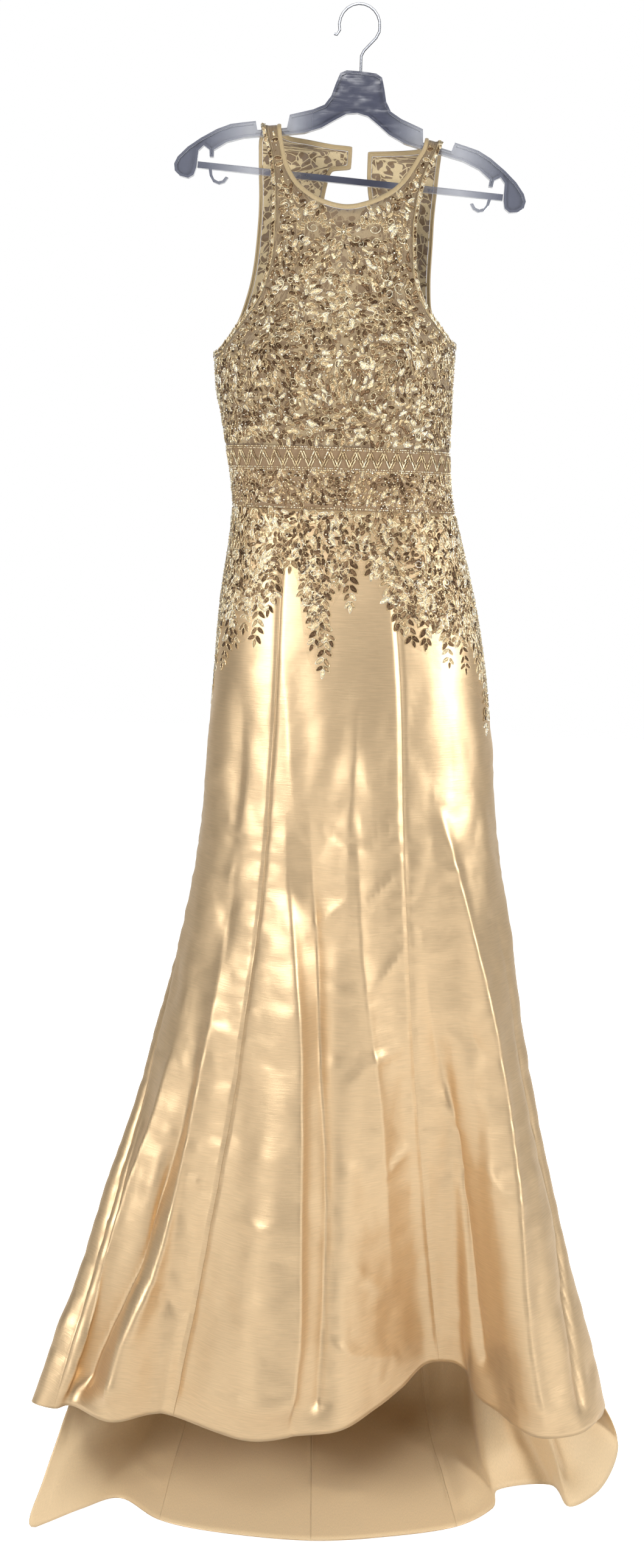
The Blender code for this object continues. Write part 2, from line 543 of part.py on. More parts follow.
def wall(name, points, normals, thick, group, material, lift=0.0):
    """A closed wall of one thickness on a grid of points, its middle moved out by lift."""
    m, n = points.shape[:2]
    facing = np.cross(points[:-1, 1:] - points[:-1, :-1], points[1:, :-1] - points[:-1, :-1])
    turned = (facing * normals[:-1, :-1]).sum() < 0
    shell = bmesh.new()
    layers = []
    for off in (lift + thick / 2, lift - thick / 2):
        flat = (points + normals * off).reshape(-1, 3)
        layers.append([shell.verts.new(p) for p in flat])
    outer, inner = layers
    corners = []
    one = np.linalg.norm(points[1:, 1:] - points[:-1, :-1], axis=-1)
    two = np.linalg.norm(points[1:, :-1] - points[:-1, 1:], axis=-1)
    for i in range(m - 1):
        for j in range(n - 1):
            a, b, c, d = i * n + j, i * n + j + 1, (i + 1) * n + j + 1, (i + 1) * n + j
            halves = ((a, b, c), (a, c, d)) if one[i, j] <= two[i, j] else ((a, b, d), (b, c, d))
            for half in halves:
                corners.append([outer[k] for k in half])
                corners.append([inner[k] for k in half[::-1]])
    rim = [i * n for i in range(m)]
    rim += [(m - 1) * n + j for j in range(1, n)]
    rim += [i * n + n - 1 for i in range(m - 2, -1, -1)]
    rim += [j for j in range(n - 2, 0, -1)]
    for a, b in zip(rim, rim[1:] + rim[:1]):
        corners.append([outer[a], outer[b], inner[b], inner[a]])
    for face in corners:
        shell.faces.new(face[::-1] if turned else face)
    mesh = bpy.data.meshes.new(name)
    shell.to_mesh(mesh)
    shell.free()
    mesh.shade_smooth()
    return add_mesh(name, mesh, group, material)


def build_skirt(group, materials):
    pieces = (
        ("skirt_centre_front", "left_princess", "right_princess", 0),
        ("skirt_side_front_left", "left_seam", "left_princess", 0),
        ("skirt_side_front_right", "right_princess", "right_seam", 0),
        ("skirt_side_back_right", "right_seam", "right_back_seam", 0),
        ("skirt_centre_back_right", "right_back_seam", "centre_back", 0),
        ("skirt_centre_back_left", "centre_back", "left_back_seam", 0),
        ("skirt_side_back_left", "left_back_seam", "left_seam", 1),
    )
    down = np.array(list(UPPER_ROWS) + [1 + row for row in LOWER_ROWS])
    for name, first, last, turns in pieces:
        a, b = fold_row(first), fold_row(last) + turns * len(FOLDS)
        place = np.linspace(a, b, (b - a) * COLUMNS_PER_FOLD + 1)
        points = drawn_in(skirt(place, down), (1, 1), (1, 0))
        wall(name, points, skirt_normals(place, down), SATIN, group, materials["champagne_satin"])


def build_hip_lace(group, materials):
    pieces = (
        ("hip_lace_front", "left_seam", "right_seam", 0),
        ("hip_lace_back_right", "right_seam", "centre_back", 0),
        ("hip_lace_back_left", "centre_back", "left_seam", 1),
    )
    angles, heights = zip(*HIP_LACE)
    rows = np.array(UPPER_ROWS + (1.0,))
    count = len(UPPER_ROWS)
    lift = SATIN / 2 + LACE_LIFT + LACE / 2
    for name, first, last, turns in pieces:
        a, b = fold_row(first), fold_row(last) + turns * len(FOLDS)
        place = np.linspace(a, b, (b - a) * COLUMNS_PER_FOLD + 1)
        edge = skirt_down_of(steady(angles, heights, np.clip(fold_values(place)[0], 180, 540)))
        panel, facing = skirt(place, rows), skirt_normals(place, rows)
        points = np.empty((len(place), count, 3))
        normals = np.empty_like(points)
        for i in range(len(place)):
            whole = int((rows[1:count - 1] < edge[i] - 0.02).sum())
            down = list(rows[:whole + 1])
            down += list(np.linspace(rows[whole], edge[i], count - whole)[1:])
            for k in range(3):
                points[i, :, k] = np.interp(down, rows, panel[i, :, k])
                normals[i, :, k] = np.interp(down, rows, facing[i, :, k])
        points = drawn_in(points, (1, 1), (1, 0))
        wall(name, points, normals, LACE, group, materials["beaded_lace"], lift)


def build_midriff(group, materials):
    pieces = (
        ("midriff_front", 180.0, 360.0, 28),
        ("midriff_back_right", 360.0, 450.0, 14),
        ("midriff_back_left", 450.0, 540.0, 14),
    )
    heights = np.linspace(MIDRIFF_Z, WAIST_Z, 4)
    for name, first, last, count in pieces:
        angle = np.linspace(first, last, count + 1)[:, None] + 0 * heights
        z = heights[None, :] + 0 * angle
        points = drawn_in(ring(angle, z), (1, 1), (1, 1))
        wall(name, points, ring_normals(angle, z), NET, group, materials["beaded_lace"])


def build_bodice(group, materials):
    front = Bodice(FRONT_LEFT + FRONT_RIGHT, False, 14, 26)
    left = Bodice(BACK_LEFT, True, 8, len(BACK_LEFT) - 1)
    right = Bodice(BACK_RIGHT, True, 8, len(BACK_RIGHT) - 1)
    lace = materials["beaded_lace"]
    angle, z = front.grid("inner_net", "outer_net", front.t, np.linspace(0, 1, 14))
    points = drawn_in(ring(angle, z), (1, 1), (0, 0))
    under = (front.t > front.underarms[0]) & (front.t < front.underarms[1])
    points = seam_side(points, under)
    wall("bodice_front", points, ring_normals(angle, z), NET, group, lace)
    for name, piece in (("back_left", left), ("back_right", right)):
        angle, z = piece.grid("inner_net", "outer_net", piece.t, np.linspace(0, 1, 9))
        points = drawn_in(ring(angle, z), (1, 1), (0, 0))
        centre = angle[:, 0] == 450.0
        points[centre, 0, 0] += SEAM / 2 * (1 if name == "back_right" else -1)
        points = seam_side(points, piece.t > piece.underarms[0])
        wall(name, points, ring_normals(angle, z), NET, group, lace)
    build_lining(front, group, materials["lining"])
    build_bindings(front, left, right, group, materials["binding"])


def build_lining(front, group, material):
    """The bust lining: the lower part of the front's own grid, moved in behind it."""
    angles, heights = (np.array(values) for values in zip(*SWEETHEART))
    t = front.t[(front.t > front.underarms[0]) & (front.t < front.underarms[1])]
    fine = np.linspace(0, 1, 201)
    angle, z = front.grid("inner_net", "outer_net", t, fine)
    over = z > steady(angles, heights, angle)
    start = np.minimum(fine[np.minimum(over.sum(1), 200)], 0.95)
    share = np.linspace(0, 1, 14)
    angle, z = front.grid("inner_net", "outer_net", t, share)
    whole, facing = ring(angle, z), ring_normals(angle, z)
    count = 10
    points = np.empty((len(t), count, 3))
    normals = np.empty_like(points)
    for i in range(len(t)):
        kept = [s for s in share if s > start[i] + 0.02][-(count - 2):]
        down = list(np.linspace(start[i], kept[0], count - len(kept) + 1)[:-1]) + kept
        for k in range(3):
            points[i, :, k] = np.interp(down, share, whole[i, :, k])
            normals[i, :, k] = np.interp(down, share, facing[i, :, k])
    points = drawn_in(points, (0, 0), (0, 1))
    wall("bust_lining", points, normals, NET, group, material, -LINING_DEPTH)


def seam_side(points, where):
    """Moves the outer edge of a bodice piece half a seam off the side seam and the midriff."""
    along = np.gradient(points[where, -1], axis=0)
    along = along / np.linalg.norm(along, axis=-1, keepdims=True)
    step = points[where, -2] - points[where, -1]
    step = step - along * (step * along).sum(-1, keepdims=True)
    step = step / np.linalg.norm(step, axis=-1, keepdims=True)
    points[where, -1] += step * SEAM * 0.7
    return points


def build_bindings(front, left, right, group, material):
    two = np.array([0.0, 1.0])
    angle, z = front.grid("inner", "inner_bound", front.t, two)
    points = drawn_in(ring(angle, z), (1, 1), (0, 0))
    wall("binding_neck_front", points, ring_normals(angle, z), BINDING, group, material)
    for name, piece in (("left", left), ("right", right)):
        if name == "left":
            ahead = front.t[front.t <= front.underarms[0]][::-1]
        else:
            ahead = front.t[front.t >= front.underarms[1]]
        behind = piece.t[piece.t <= piece.underarms[0]]
        parts = []
        for half, at in ((front, ahead), (piece, behind)):
            angle, z = half.grid("outer", "outer_bound", at, two)
            parts.append((ring(angle, z), ring_normals(angle, z)))
        top = (parts[0][0][-1:] + parts[1][0][:1]) / 2
        top[..., 1] = 0.0
        points = np.concatenate([parts[0][0][:-1], top, parts[1][0][1:]])
        up = np.broadcast_to((0.0, 0.0, 1.0), top.shape)
        normals = np.concatenate([parts[0][1][:-1], up, parts[1][1][1:]])
        points = drawn_in(points, (1, 1), (0, 0))
        wall("binding_armhole_" + name, points, normals, BINDING, group, material)
        t = piece.t[piece.t <= piece.underarms[0] - 2]
        angle, z = piece.grid("inner", "inner_bound", t, two)
        points = drawn_in(ring(angle, z), (1, 0), (0, 0))
        points[-1, :, 0] += SEAM / 2 * (1 if name == "right" else -1)
        wall("binding_back_" + name, points, ring_normals(angle, z), BINDING, group, material)


# ---------------------------------------------------------------- the hanger
def hanger_place(x, y, z):
    """World place of a point of the hanger, which hangs tilted about its neck."""
    c, s = math.cos(HANGER_TILT), math.sin(HANGER_TILT)
    return (HANGER_NECK[0] + x * c + z * s, y, HANGER_NECK[1] - x * s + z * c)


def build_hanger(group, materials):
    half = [(x / 1000, z / 1000) for x, z in HANGER_HALF]
    outline = half + [(-x, z) for x, z in half[-2:0:-1]]
    line = np.array(outline)
    ahead = np.roll(line, -1, 0) - line
    ahead = ahead / np.linalg.norm(ahead, axis=1, keepdims=True)
    mean = ahead + np.roll(ahead, 1, 0)
    mean = mean / np.linalg.norm(mean, axis=1, keepdims=True)
    inward = np.stack([mean[:, 1], -mean[:, 0]], 1)
    lengthen = 1 / np.maximum((mean * ahead).sum(1), 0.75)
    inner = line + inward * (RIM_WIDTH * lengthen)[:, None]
    shell = bmesh.new()
    loops = []
    for points, y in ((line, -RIM / 2), (inner, -RIM / 2), (inner, -WEB / 2)):
        loops.append([shell.verts.new(hanger_place(x, y, z)) for x, z in points])
    for points, y in ((inner, WEB / 2), (inner, RIM / 2), (line, RIM / 2)):
        loops.append([shell.verts.new(hanger_place(x, y, z)) for x, z in points])
    count = len(line)
    for a, b in ((0, 1), (1, 2), (3, 4), (4, 5), (5, 0)):
        for i in range(count):
            k = (i + 1) % count
            shell.faces.new([loops[a][i], loops[a][k], loops[b][k], loops[b][i]])
    shell.faces.new(loops[2])
    shell.faces.new(loops[3][::-1])
    bmesh.ops.triangulate(shell, faces=[f for f in shell.faces if len(f.verts) > 4])
    bmesh.ops.recalc_face_normals(shell, faces=shell.faces)
    mesh = bpy.data.meshes.new("hanger_arms")
    shell.to_mesh(mesh)
    shell.free()
    add_mesh("hanger_arms", mesh, group, materials["clear_plastic"])


def build_bar(group, materials):
    """The trouser bar between the arm ends, with a small loop under each end of it."""
    reach = 0.1879
    shell = bmesh.new()
    top, low = BAR_Z + BAR_TALL / 2, BAR_Z - BAR_TALL / 2
    outline = [(-reach, low), (-reach, top), (reach, top), (reach, low)]
    for side in (1, -1):
        loop = [(174, low), (172, -0.0915), (167, -0.0985), (160, -0.1005), (153, -0.0975), (149, -0.0915),
                (152.5, -0.0905), (156, -0.0955), (161, -0.0970), (166, -0.0950), (169, -0.0900), (170, low)]
        outline += [(side * x / 1000, z) for x, z in (loop if side > 0 else loop[::-1])]
    line = [shell.verts.new(hanger_place(x, -BAR_THICK / 2, z)) for x, z in outline]
    face = shell.faces.new(line)
    moved = bmesh.ops.extrude_face_region(shell, geom=[face])
    verts = [v for v in moved["geom"] if isinstance(v, bmesh.types.BMVert)]
    bmesh.ops.translate(shell, verts=verts, vec=(0, BAR_THICK, 0))
    bmesh.ops.triangulate(shell, faces=[f for f in shell.faces if len(f.verts) > 4])
    bmesh.ops.recalc_face_normals(shell, faces=shell.faces)
    mesh = bpy.data.meshes.new("hanger_bar")
    shell.to_mesh(mesh)
    shell.free()
    add_mesh("hanger_bar", mesh, group, materials["clear_plastic"])


def build_hook(group, materials):
    """The wire hook: a stem with a jog, then a half turn whose apex is over the origin."""
    stem = hanger_place(-0.001, 0.0, 0.0475 + 0.0003)
    middle = WIRE - HOOK_BEND
    path = [
        (stem[0], stem[2]),
        (stem[0] + 0.000, -0.058),
        (stem[0] + 0.003, -0.052),
        (HOOK_BEND - 0.004, -0.037),
        (HOOK_BEND - 0.0005, -0.030),
    ]
    for k in range(13):
        a = math.radians(-5 + k * 200 / 12)
        path.append((HOOK_BEND * math.cos(a), middle + HOOK_BEND * math.sin(a)))
    path.append((path[-1][0] - 0.0035, path[-1][1] - 0.0055))
    path.append((path[-1][0] - 0.0030, path[-1][1] + 0.0010))
    curve = bpy.data.curves.new("hanger_hook", "CURVE")
    curve.dimensions = "3D"
    curve.bevel_depth = WIRE
    curve.bevel_resolution = 1
    curve.use_fill_caps = True
    spline = curve.splines.new("POLY")
    spline.points.add(len(path) - 1)
    for point, (x, z) in zip(spline.points, path):
        point.co = (x, 0.0, z, 1.0)
    thing = bpy.data.objects.new("hanger_hook", curve)
    group.objects.link(thing)
    curve.materials.append(materials["chrome"])


# ---------------------------------------------------------------- the zip
def box(name, size, centre, group, material, bevel=0.0):
    shell = bmesh.new()
    bmesh.ops.create_cube(shell, size=1.0)
    bmesh.ops.scale(shell, verts=shell.verts, vec=size)
    if bevel:
        bmesh.ops.bevel(shell, geom=shell.edges[:], offset=bevel, segments=1, affect="EDGES")
    bmesh.ops.translate(shell, verts=shell.verts, vec=centre)
    mesh = bpy.data.meshes.new(name)
    shell.to_mesh(mesh)
    shell.free()
    return add_mesh(name, mesh, group, material)


def pin(name, radius, length, sides, centre, group, material):
    shell = bmesh.new()
    bmesh.ops.create_cone(shell, cap_ends=True, segments=sides, radius1=radius, radius2=radius, depth=length)
    turn = bmesh.ops.rotate
    turn(shell, verts=shell.verts, cent=(0, 0, 0), matrix=mathutils.Matrix.Rotation(math.pi / 2, 3, "Y"))
    bmesh.ops.translate(shell, verts=shell.verts, vec=centre)
    mesh = bpy.data.meshes.new(name)
    shell.to_mesh(mesh)
    shell.free()
    return add_mesh(name, mesh, group, material)


def combine(thing, other, operation):
    step = thing.modifiers.new(operation.lower(), "BOOLEAN")
    step.operation = operation
    step.solver = "EXACT"
    step.object = other


def build_zip(group, tools, materials):
    """The slider at the top of the centre back zip, and its pull tab hung on a pin."""
    metal = materials["zip_metal"]
    x = float(body("x_left", ZIP_Z) + body("x_right", ZIP_Z)) / 2
    y = float(body("y_back", ZIP_Z)) + NET / 2 + ZIP_LIFT
    slider = box("zip_slider", (0.0054, 0.0016, 0.0090), (x, y + 0.0008, ZIP_Z), group, metal, 0.0004)
    for side in (-1, 1):
        ear = box("ear", (0.0011, 0.0038, 0.0024), (x + side * 0.00195, y + 0.0028, ZIP_Z), tools, metal)
        combine(slider, ear, "UNION")
    axle = (x, y + PIVOT_LIFT, ZIP_Z)
    combine(slider, pin("axle", 0.0005, 0.0038, 10, axle, tools, metal), "UNION")
    low = -0.0022 - PULL_LONG / 2
    pull = box("zip_pull", (0.0044, 0.0010, PULL_LONG), (0, 0, low), group, metal, 0.0003)
    combine(pull, box("neck", (0.0020, 0.0009, 0.0030), (0, 0, -0.0020), tools, metal), "UNION")
    combine(pull, pin("eye", 0.00145, 0.0020, 14, (0, 0, 0), tools, metal), "UNION")
    combine(pull, pin("bore", 0.00085, 0.0040, 14, (0, 0, 0), tools, metal), "DIFFERENCE")
    pull.location = axle
    for tool in tools.objects:
        if tool.name.split(".")[0] in ("neck", "eye", "bore"):
            tool.location = axle


def main():
    clear_scene()
    group = bpy.data.collections.new("trumpet_gown")
    bpy.context.scene.collection.children.link(group)
    tools = bpy.data.collections.new("cutters")
    bpy.context.scene.collection.children.link(tools)
    tools.hide_render = True
    materials = make_materials()
    build_skirt(group, materials)
    build_hip_lace(group, materials)
    build_midriff(group, materials)
    build_bodice(group, materials)
    build_hanger(group, materials)
    build_bar(group, materials)
    build_hook(group, materials)
    build_zip(group, tools, materials)
    for tool in tools.objects:
        tool.hide_render = True
        tool.display_type = "WIRE"


main()
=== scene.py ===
"""Trumpet gown of satin and beaded lace on a clear hanger, as an add-on that builds its looks.

Metres, +Z up, the front of the gown toward -Y, the origin under the apex of the hanger's hook.
Angles of a ring are in degrees: 180 is the left side seam, 270 the centre front, 360 the right
side seam and 450 the centre back.
"""
import math
import random

import bmesh
import bpy
import numpy as np
from bpy.props import FloatProperty, FloatVectorProperty, PointerProperty
from mathutils import Matrix, Vector, noise


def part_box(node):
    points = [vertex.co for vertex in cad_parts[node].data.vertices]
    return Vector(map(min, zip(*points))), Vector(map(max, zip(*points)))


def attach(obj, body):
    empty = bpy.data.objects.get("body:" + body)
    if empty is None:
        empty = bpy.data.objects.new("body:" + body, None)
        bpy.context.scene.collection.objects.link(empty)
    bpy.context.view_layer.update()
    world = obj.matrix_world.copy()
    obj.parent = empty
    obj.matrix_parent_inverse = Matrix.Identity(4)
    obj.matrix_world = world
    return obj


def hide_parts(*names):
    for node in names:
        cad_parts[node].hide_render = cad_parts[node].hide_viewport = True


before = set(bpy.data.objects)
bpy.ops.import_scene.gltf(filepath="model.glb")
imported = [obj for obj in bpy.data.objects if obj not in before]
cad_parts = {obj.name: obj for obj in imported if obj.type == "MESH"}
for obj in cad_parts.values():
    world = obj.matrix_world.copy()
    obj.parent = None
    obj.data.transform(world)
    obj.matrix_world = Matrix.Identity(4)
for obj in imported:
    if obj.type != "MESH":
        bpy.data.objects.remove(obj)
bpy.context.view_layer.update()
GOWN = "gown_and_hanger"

bl_info = {
    "name": "Trumpet Gown",
    "version": (1, 0, 0),
    "blender": (4, 5, 0),
    "location": "View3D > Sidebar > Gown",
    "description": "Builds a beaded satin trumpet gown on a clear hanger",
    "category": "Add Mesh",
}


# ---------------------------------------------------------------- driving sizes
SATIN = 0.0020           # wall of the skirt panels in the CAD
SEAM = 0.0003            # space left between neighbouring pieces
WAIST_Z = -0.6025        # seam between midriff and skirt
MIDRIFF_Z = -0.5265      # seam between bodice and midriff
KNEE_Z = -1.000          # where the flare starts
FLOOR_Z = -1.9290        # middle of the wall where the train lies
FLARE = 1.30             # slope of the flare at its lower end, against its mean slope
BEND_RADIUS = 0.095      # how softly the train turns on to the floor
FULLNESS = 0.85          # 1 gives elliptic rings, less gives squarer ones
CUP_RISE = 0.020         # height of each bust cup
CUP_X, CUP_Z = 0.068, -0.436
CUP_WIDE, CUP_TALL = 0.036, 0.040
BINDING_WIDTH = 0.0050
LINING_DEPTH = 0.0045    # from the bodice to the lining behind it
GIRTH_Z = -0.360         # ring whose lengths measure the bodice pieces sideways
STRAP_ROUND = 0.008      # radius of a strap over the hanger arm

# Sizes of the body in metres, a row for each ring.
BODY_COLUMNS = ("z", "x_left", "x_right", "y_side", "y_front", "y_back")
BODY = (
    (-0.120, -0.1340, 0.1210, 0.000, -0.012, 0.016),
    (-0.180, -0.1370, 0.1250, 0.000, -0.028, 0.032),
    (-0.240, -0.1400, 0.1280, 0.000, -0.050, 0.048),
    (-0.300, -0.1450, 0.1300, 0.002, -0.067, 0.060),
    (-0.360, -0.1550, 0.1310, 0.005, -0.078, 0.067),
    (-0.414, -0.1650, 0.1325, 0.008, -0.084, 0.071),
    (-0.459, -0.1620, 0.1320, 0.008, -0.083, 0.071),
    (-0.488, -0.1550, 0.1320, 0.007, -0.080, 0.069),
    (-0.518, -0.1500, 0.1315, 0.006, -0.077, 0.067),
    (-0.548, -0.1440, 0.1335, 0.005, -0.073, 0.065),
    (-0.578, -0.1400, 0.1370, 0.005, -0.070, 0.064),
    (-0.603, -0.1375, 0.1420, 0.005, -0.069, 0.065),
    (-0.639, -0.1400, 0.1520, 0.006, -0.073, 0.073),
    (-0.685, -0.1460, 0.1650, 0.008, -0.080, 0.086),
    (-0.731, -0.1510, 0.1765, 0.011, -0.086, 0.099),
    (-0.810, -0.1560, 0.1915, 0.015, -0.092, 0.115),
    (-0.889, -0.1615, 0.2025, 0.018, -0.095, 0.124),
    (-0.969, -0.1670, 0.2115, 0.022, -0.097, 0.130),
    (-1.050, -0.1750, 0.2240, 0.026, -0.099, 0.135),
)

# Folds of the skirt, a row for each crest, valley and seam: its name, the angle where it leaves the
# knee ring, the x, y and z of its hem and, where the cloth bends before its hem, of that bend.
FOLDS = (
    ("left_seam", 180.0, -0.335, -0.126, -1.770),
    ("left_valley", 187.0, -0.312, -0.118, -1.770),
    ("left_crest", 199.0, -0.258, -0.154, -1.770),
    ("left_dip", 217.0, -0.206, -0.131, -1.770),
    ("left_princess", 238.0, -0.178, -0.134, -1.770),
    ("centre_crest", 247.0, -0.084, -0.185, -1.770),
    ("centre_crease", 256.0, -0.018, -0.171, -1.770),
    ("centre_slope", 265.0, 0.040, -0.154, -1.770),
    ("centre_turn", 273.0, 0.088, -0.100, -1.767),
    ("notch_in", 280.0, 0.122, -0.060, -1.759),
    ("notch_left", 285.5, 0.151, -0.031, -1.743),
    ("right_princess", 290.5, 0.173, -0.025, -1.739),
    ("notch_right", 296.0, 0.196, -0.021, -1.743),
    ("notch_out", 302.0, 0.213, -0.028, -1.754),
    ("right_fold", 308.0, 0.219, -0.060, -1.765),
    ("right_slope", 315.0, 0.250, -0.099, -1.770),
    ("right_rise", 322.0, 0.276, -0.142, -1.770),
    ("right_crest", 330.0, 0.306, -0.156, -1.770),
    ("right_round", 340.0, 0.356, -0.137, -1.770),
    ("right_edge", 352.0, 0.393, -0.072, -1.770),
    ("right_seam", 360.0, 0.381, -0.010, -1.785, 0.365, 0.010, -1.720),
    ("lobe_top", 367.0, 0.418, 0.036, -1.840, 0.360, 0.070, -1.740),
    ("lobe_side", 373.0, 0.439, 0.048, -1.900, 0.350, 0.085, -1.770),
    ("lobe_low", 379.0, 0.407, -0.012, -1.927, 0.335, 0.075, -1.790),
    ("lobe_tip", 386.0, 0.357, -0.056, -1.928, 0.310, 0.050, -1.800),
    ("lobe_under", 394.0, 0.338, -0.004, FLOOR_Z, 0.290, 0.085, -1.860),
    ("flap_corner", 402.0, 0.264, -0.026, -1.925, 0.240, 0.085, -1.850),
    ("train_start", 411.0, 0.252, -0.064, FLOOR_Z, 0.230, 0.125, -1.915),
    ("right_back_seam", 424.0, 0.200, -0.108, FLOOR_Z, 0.172, 0.158, FLOOR_Z),
    ("train_right", 437.0, 0.110, -0.135, FLOOR_Z, 0.095, 0.175, FLOOR_Z),
    ("centre_back", 450.0, 0.006, -0.150, FLOOR_Z, 0.004, 0.180, FLOOR_Z),
    ("train_left", 463.0, -0.115, -0.139, FLOOR_Z, -0.105, 0.172, FLOOR_Z),
    ("left_back_seam", 476.0, -0.195, -0.116, FLOOR_Z, -0.178, 0.150, FLOOR_Z),
    ("train_end", 489.0, -0.252, -0.070, FLOOR_Z, -0.222, 0.112, -1.915),
    ("flute_under", 500.0, -0.300, -0.098, FLOOR_Z, -0.232, 0.068, -1.860),
    ("flute_tip", 509.0, -0.360, -0.146, -1.926, -0.243, 0.030, -1.795),
    ("flute_hem", 516.0, -0.348, -0.108, -1.876, -0.268, 0.008, -1.780),
    ("flute_top", 522.0, -0.328, -0.064, -1.812, -0.292, -0.006, -1.750),
    ("left_tuck", 528.0, -0.326, -0.034, -1.784, -0.316, -0.010, -1.740),
    ("left_edge", 534.0, -0.366, -0.106, -1.770),
)
# Edges of the bodice as seen from the front, a row for each line across it: x, z and the share of
# the binding's width at its inner edge, the same at its outer edge and, where the straight line
# would leave the piece, the x and z that bow it. LEFT, RIGHT and CENTRE stand for the side seams
# and the centre back at that height.
LEFT, RIGHT, CENTRE = "left side", "right side", "centre"
FRONT_LEFT = (
    (-0.0915, -0.1415, 1, -0.1145, -0.1435, 1),
    (-0.0912, -0.1432, 1, -0.1141, -0.1452, 1),
    (-0.0909, -0.1470, 1, -0.1133, -0.1490, 1),
    (-0.0898, -0.1550, 1, -0.1105, -0.1610, 1),
    (-0.0870, -0.1690, 1, -0.1035, -0.1840, 1),
    (-0.0820, -0.1880, 1, -0.0990, -0.2150, 1),
    (-0.0710, -0.2090, 1, -0.0975, -0.2550, 1),
    (-0.0590, -0.2210, 1, -0.0985, -0.2950, 1),
    (-0.0500, -0.2275, 1, -0.1070, -0.3370, 1, (-0.0770, -0.2950)),
    (-0.0450, -0.2305, 1, -0.1280, -0.3740, 1, (-0.0800, -0.3450)),
    (-0.0420, -0.2320, 1, -0.1390, -0.3890, 1, (-0.0830, -0.3740)),
    (-0.0400, -0.2330, 1, -0.1500, -0.4040, 1, (-0.0860, -0.3990)),
    (-0.0385, -0.2337, 1, -0.1580, -0.4120, 1, (-0.0880, -0.4230)),
    (-0.0370, -0.2343, 1, LEFT, -0.4160, 0.3, (-0.0900, -0.4600)),
    (-0.0362, -0.2346, 1, LEFT, -0.4190, 0, (-0.0900, -0.4640)),
    (-0.0330, -0.2355, 1, LEFT, -0.4600, 0, (-0.0850, -0.4790)),
    (-0.0290, -0.2368, 1, LEFT, MIDRIFF_Z, 0, (-0.0750, -0.4900)),
    (-0.0240, -0.2382, 1, -0.1180, MIDRIFF_Z, 0, (-0.0580, -0.4600)),
    (-0.0190, -0.2392, 1, -0.0750, MIDRIFF_Z, 0, (-0.0400, -0.4300)),
    (-0.0140, -0.2399, 1, -0.0400, MIDRIFF_Z, 0, (-0.0250, -0.4000)),
)
FRONT_RIGHT = (
    (-0.0085, -0.2402, 1, -0.0085, MIDRIFF_Z, 0, (-0.0085, -0.3850)),
    (-0.0020, -0.2397, 1, 0.0230, MIDRIFF_Z, 0, (0.0060, -0.4000)),
    (0.0040, -0.2387, 1, 0.0570, MIDRIFF_Z, 0, (0.0220, -0.4300)),
    (0.0100, -0.2370, 1, 0.1000, MIDRIFF_Z, 0, (0.0370, -0.4550)),
    (0.0150, -0.2354, 1, RIGHT, MIDRIFF_Z, 0, (0.0500, -0.4750)),
    (0.0190, -0.2340, 1, RIGHT, -0.4550, 0, (0.0580, -0.4720)),
    (0.0230, -0.2324, 1, RIGHT, -0.4000, 0, (0.0620, -0.4570)),
    (0.0240, -0.2320, 1, RIGHT, -0.3970, 0.3, (0.0620, -0.4530)),
    (0.0265, -0.2309, 1, 0.1250, -0.3920, 1, (0.0600, -0.4150)),
    (0.0300, -0.2292, 1, 0.1170, -0.3835, 1, (0.0580, -0.3900)),
    (0.0340, -0.2268, 1, 0.1060, -0.3720, 1, (0.0570, -0.3650)),
    (0.0400, -0.2232, 1, 0.0900, -0.3490, 1, (0.0560, -0.3300)),
    (0.0490, -0.2165, 1, 0.0790, -0.3140, 1, (0.0540, -0.2640)),
    (0.0600, -0.2040, 1, 0.0770, -0.2700, 1),
    (0.0690, -0.1895, 1, 0.0805, -0.2320, 1),
    (0.0770, -0.1750, 1, 0.0885, -0.1990, 1),
    (0.0820, -0.1660, 1, 0.0985, -0.1760, 1),
    (0.0840, -0.1575, 1, 0.1035, -0.1625, 1),
    (0.0848, -0.1537, 1, 0.1047, -0.1587, 1),
    (0.0855, -0.1520, 1, 0.1055, -0.1570, 1),
)
BACK_LEFT = (
    (-0.0915, -0.1415, 1, -0.1145, -0.1435, 1),
    (-0.0910, -0.1432, 1, -0.1150, -0.1452, 1),
    (-0.0893, -0.1462, 1, -0.1162, -0.1490, 1),
    (-0.0800, -0.1500, 1, -0.1178, -0.1580, 1),
    (-0.0590, -0.1525, 1, -0.1180, -0.1640, 1),
    (-0.0290, -0.1565, 1, -0.1178, -0.1690, 1),
    (-0.0035, -0.1590, 1, -0.1177, -0.1740, 1),
    (-0.0045, -0.1830, 1, -0.1174, -0.1880, 1),
    (-0.0270, -0.1870, 1, -0.1170, -0.1990, 1),
    (-0.0330, -0.2020, 1, -0.1163, -0.2210, 1),
    (-0.0370, -0.2250, 1, -0.1168, -0.2480, 1),
    (-0.0390, -0.2550, 1, -0.1190, -0.2800, 1),
    (-0.0350, -0.2880, 1, -0.1240, -0.3180, 1),
    (-0.0240, -0.3160, 1, -0.1340, -0.3560, 1),
    (CENTRE, -0.3330, 0.4, -0.1475, -0.3870, 1, (-0.0850, -0.3720)),
    (CENTRE, -0.3360, 0, -0.1575, -0.4050, 1, (-0.0880, -0.3900)),
    (CENTRE, -0.3400, 0, LEFT, -0.4160, 0.3, (-0.0900, -0.4030)),
    (CENTRE, -0.3500, 0, LEFT, -0.4190, 0, (-0.0900, -0.4100)),
    (CENTRE, -0.4300, 0, LEFT, -0.4600, 0),
    (CENTRE, MIDRIFF_Z, 0, LEFT, MIDRIFF_Z, 0),
)
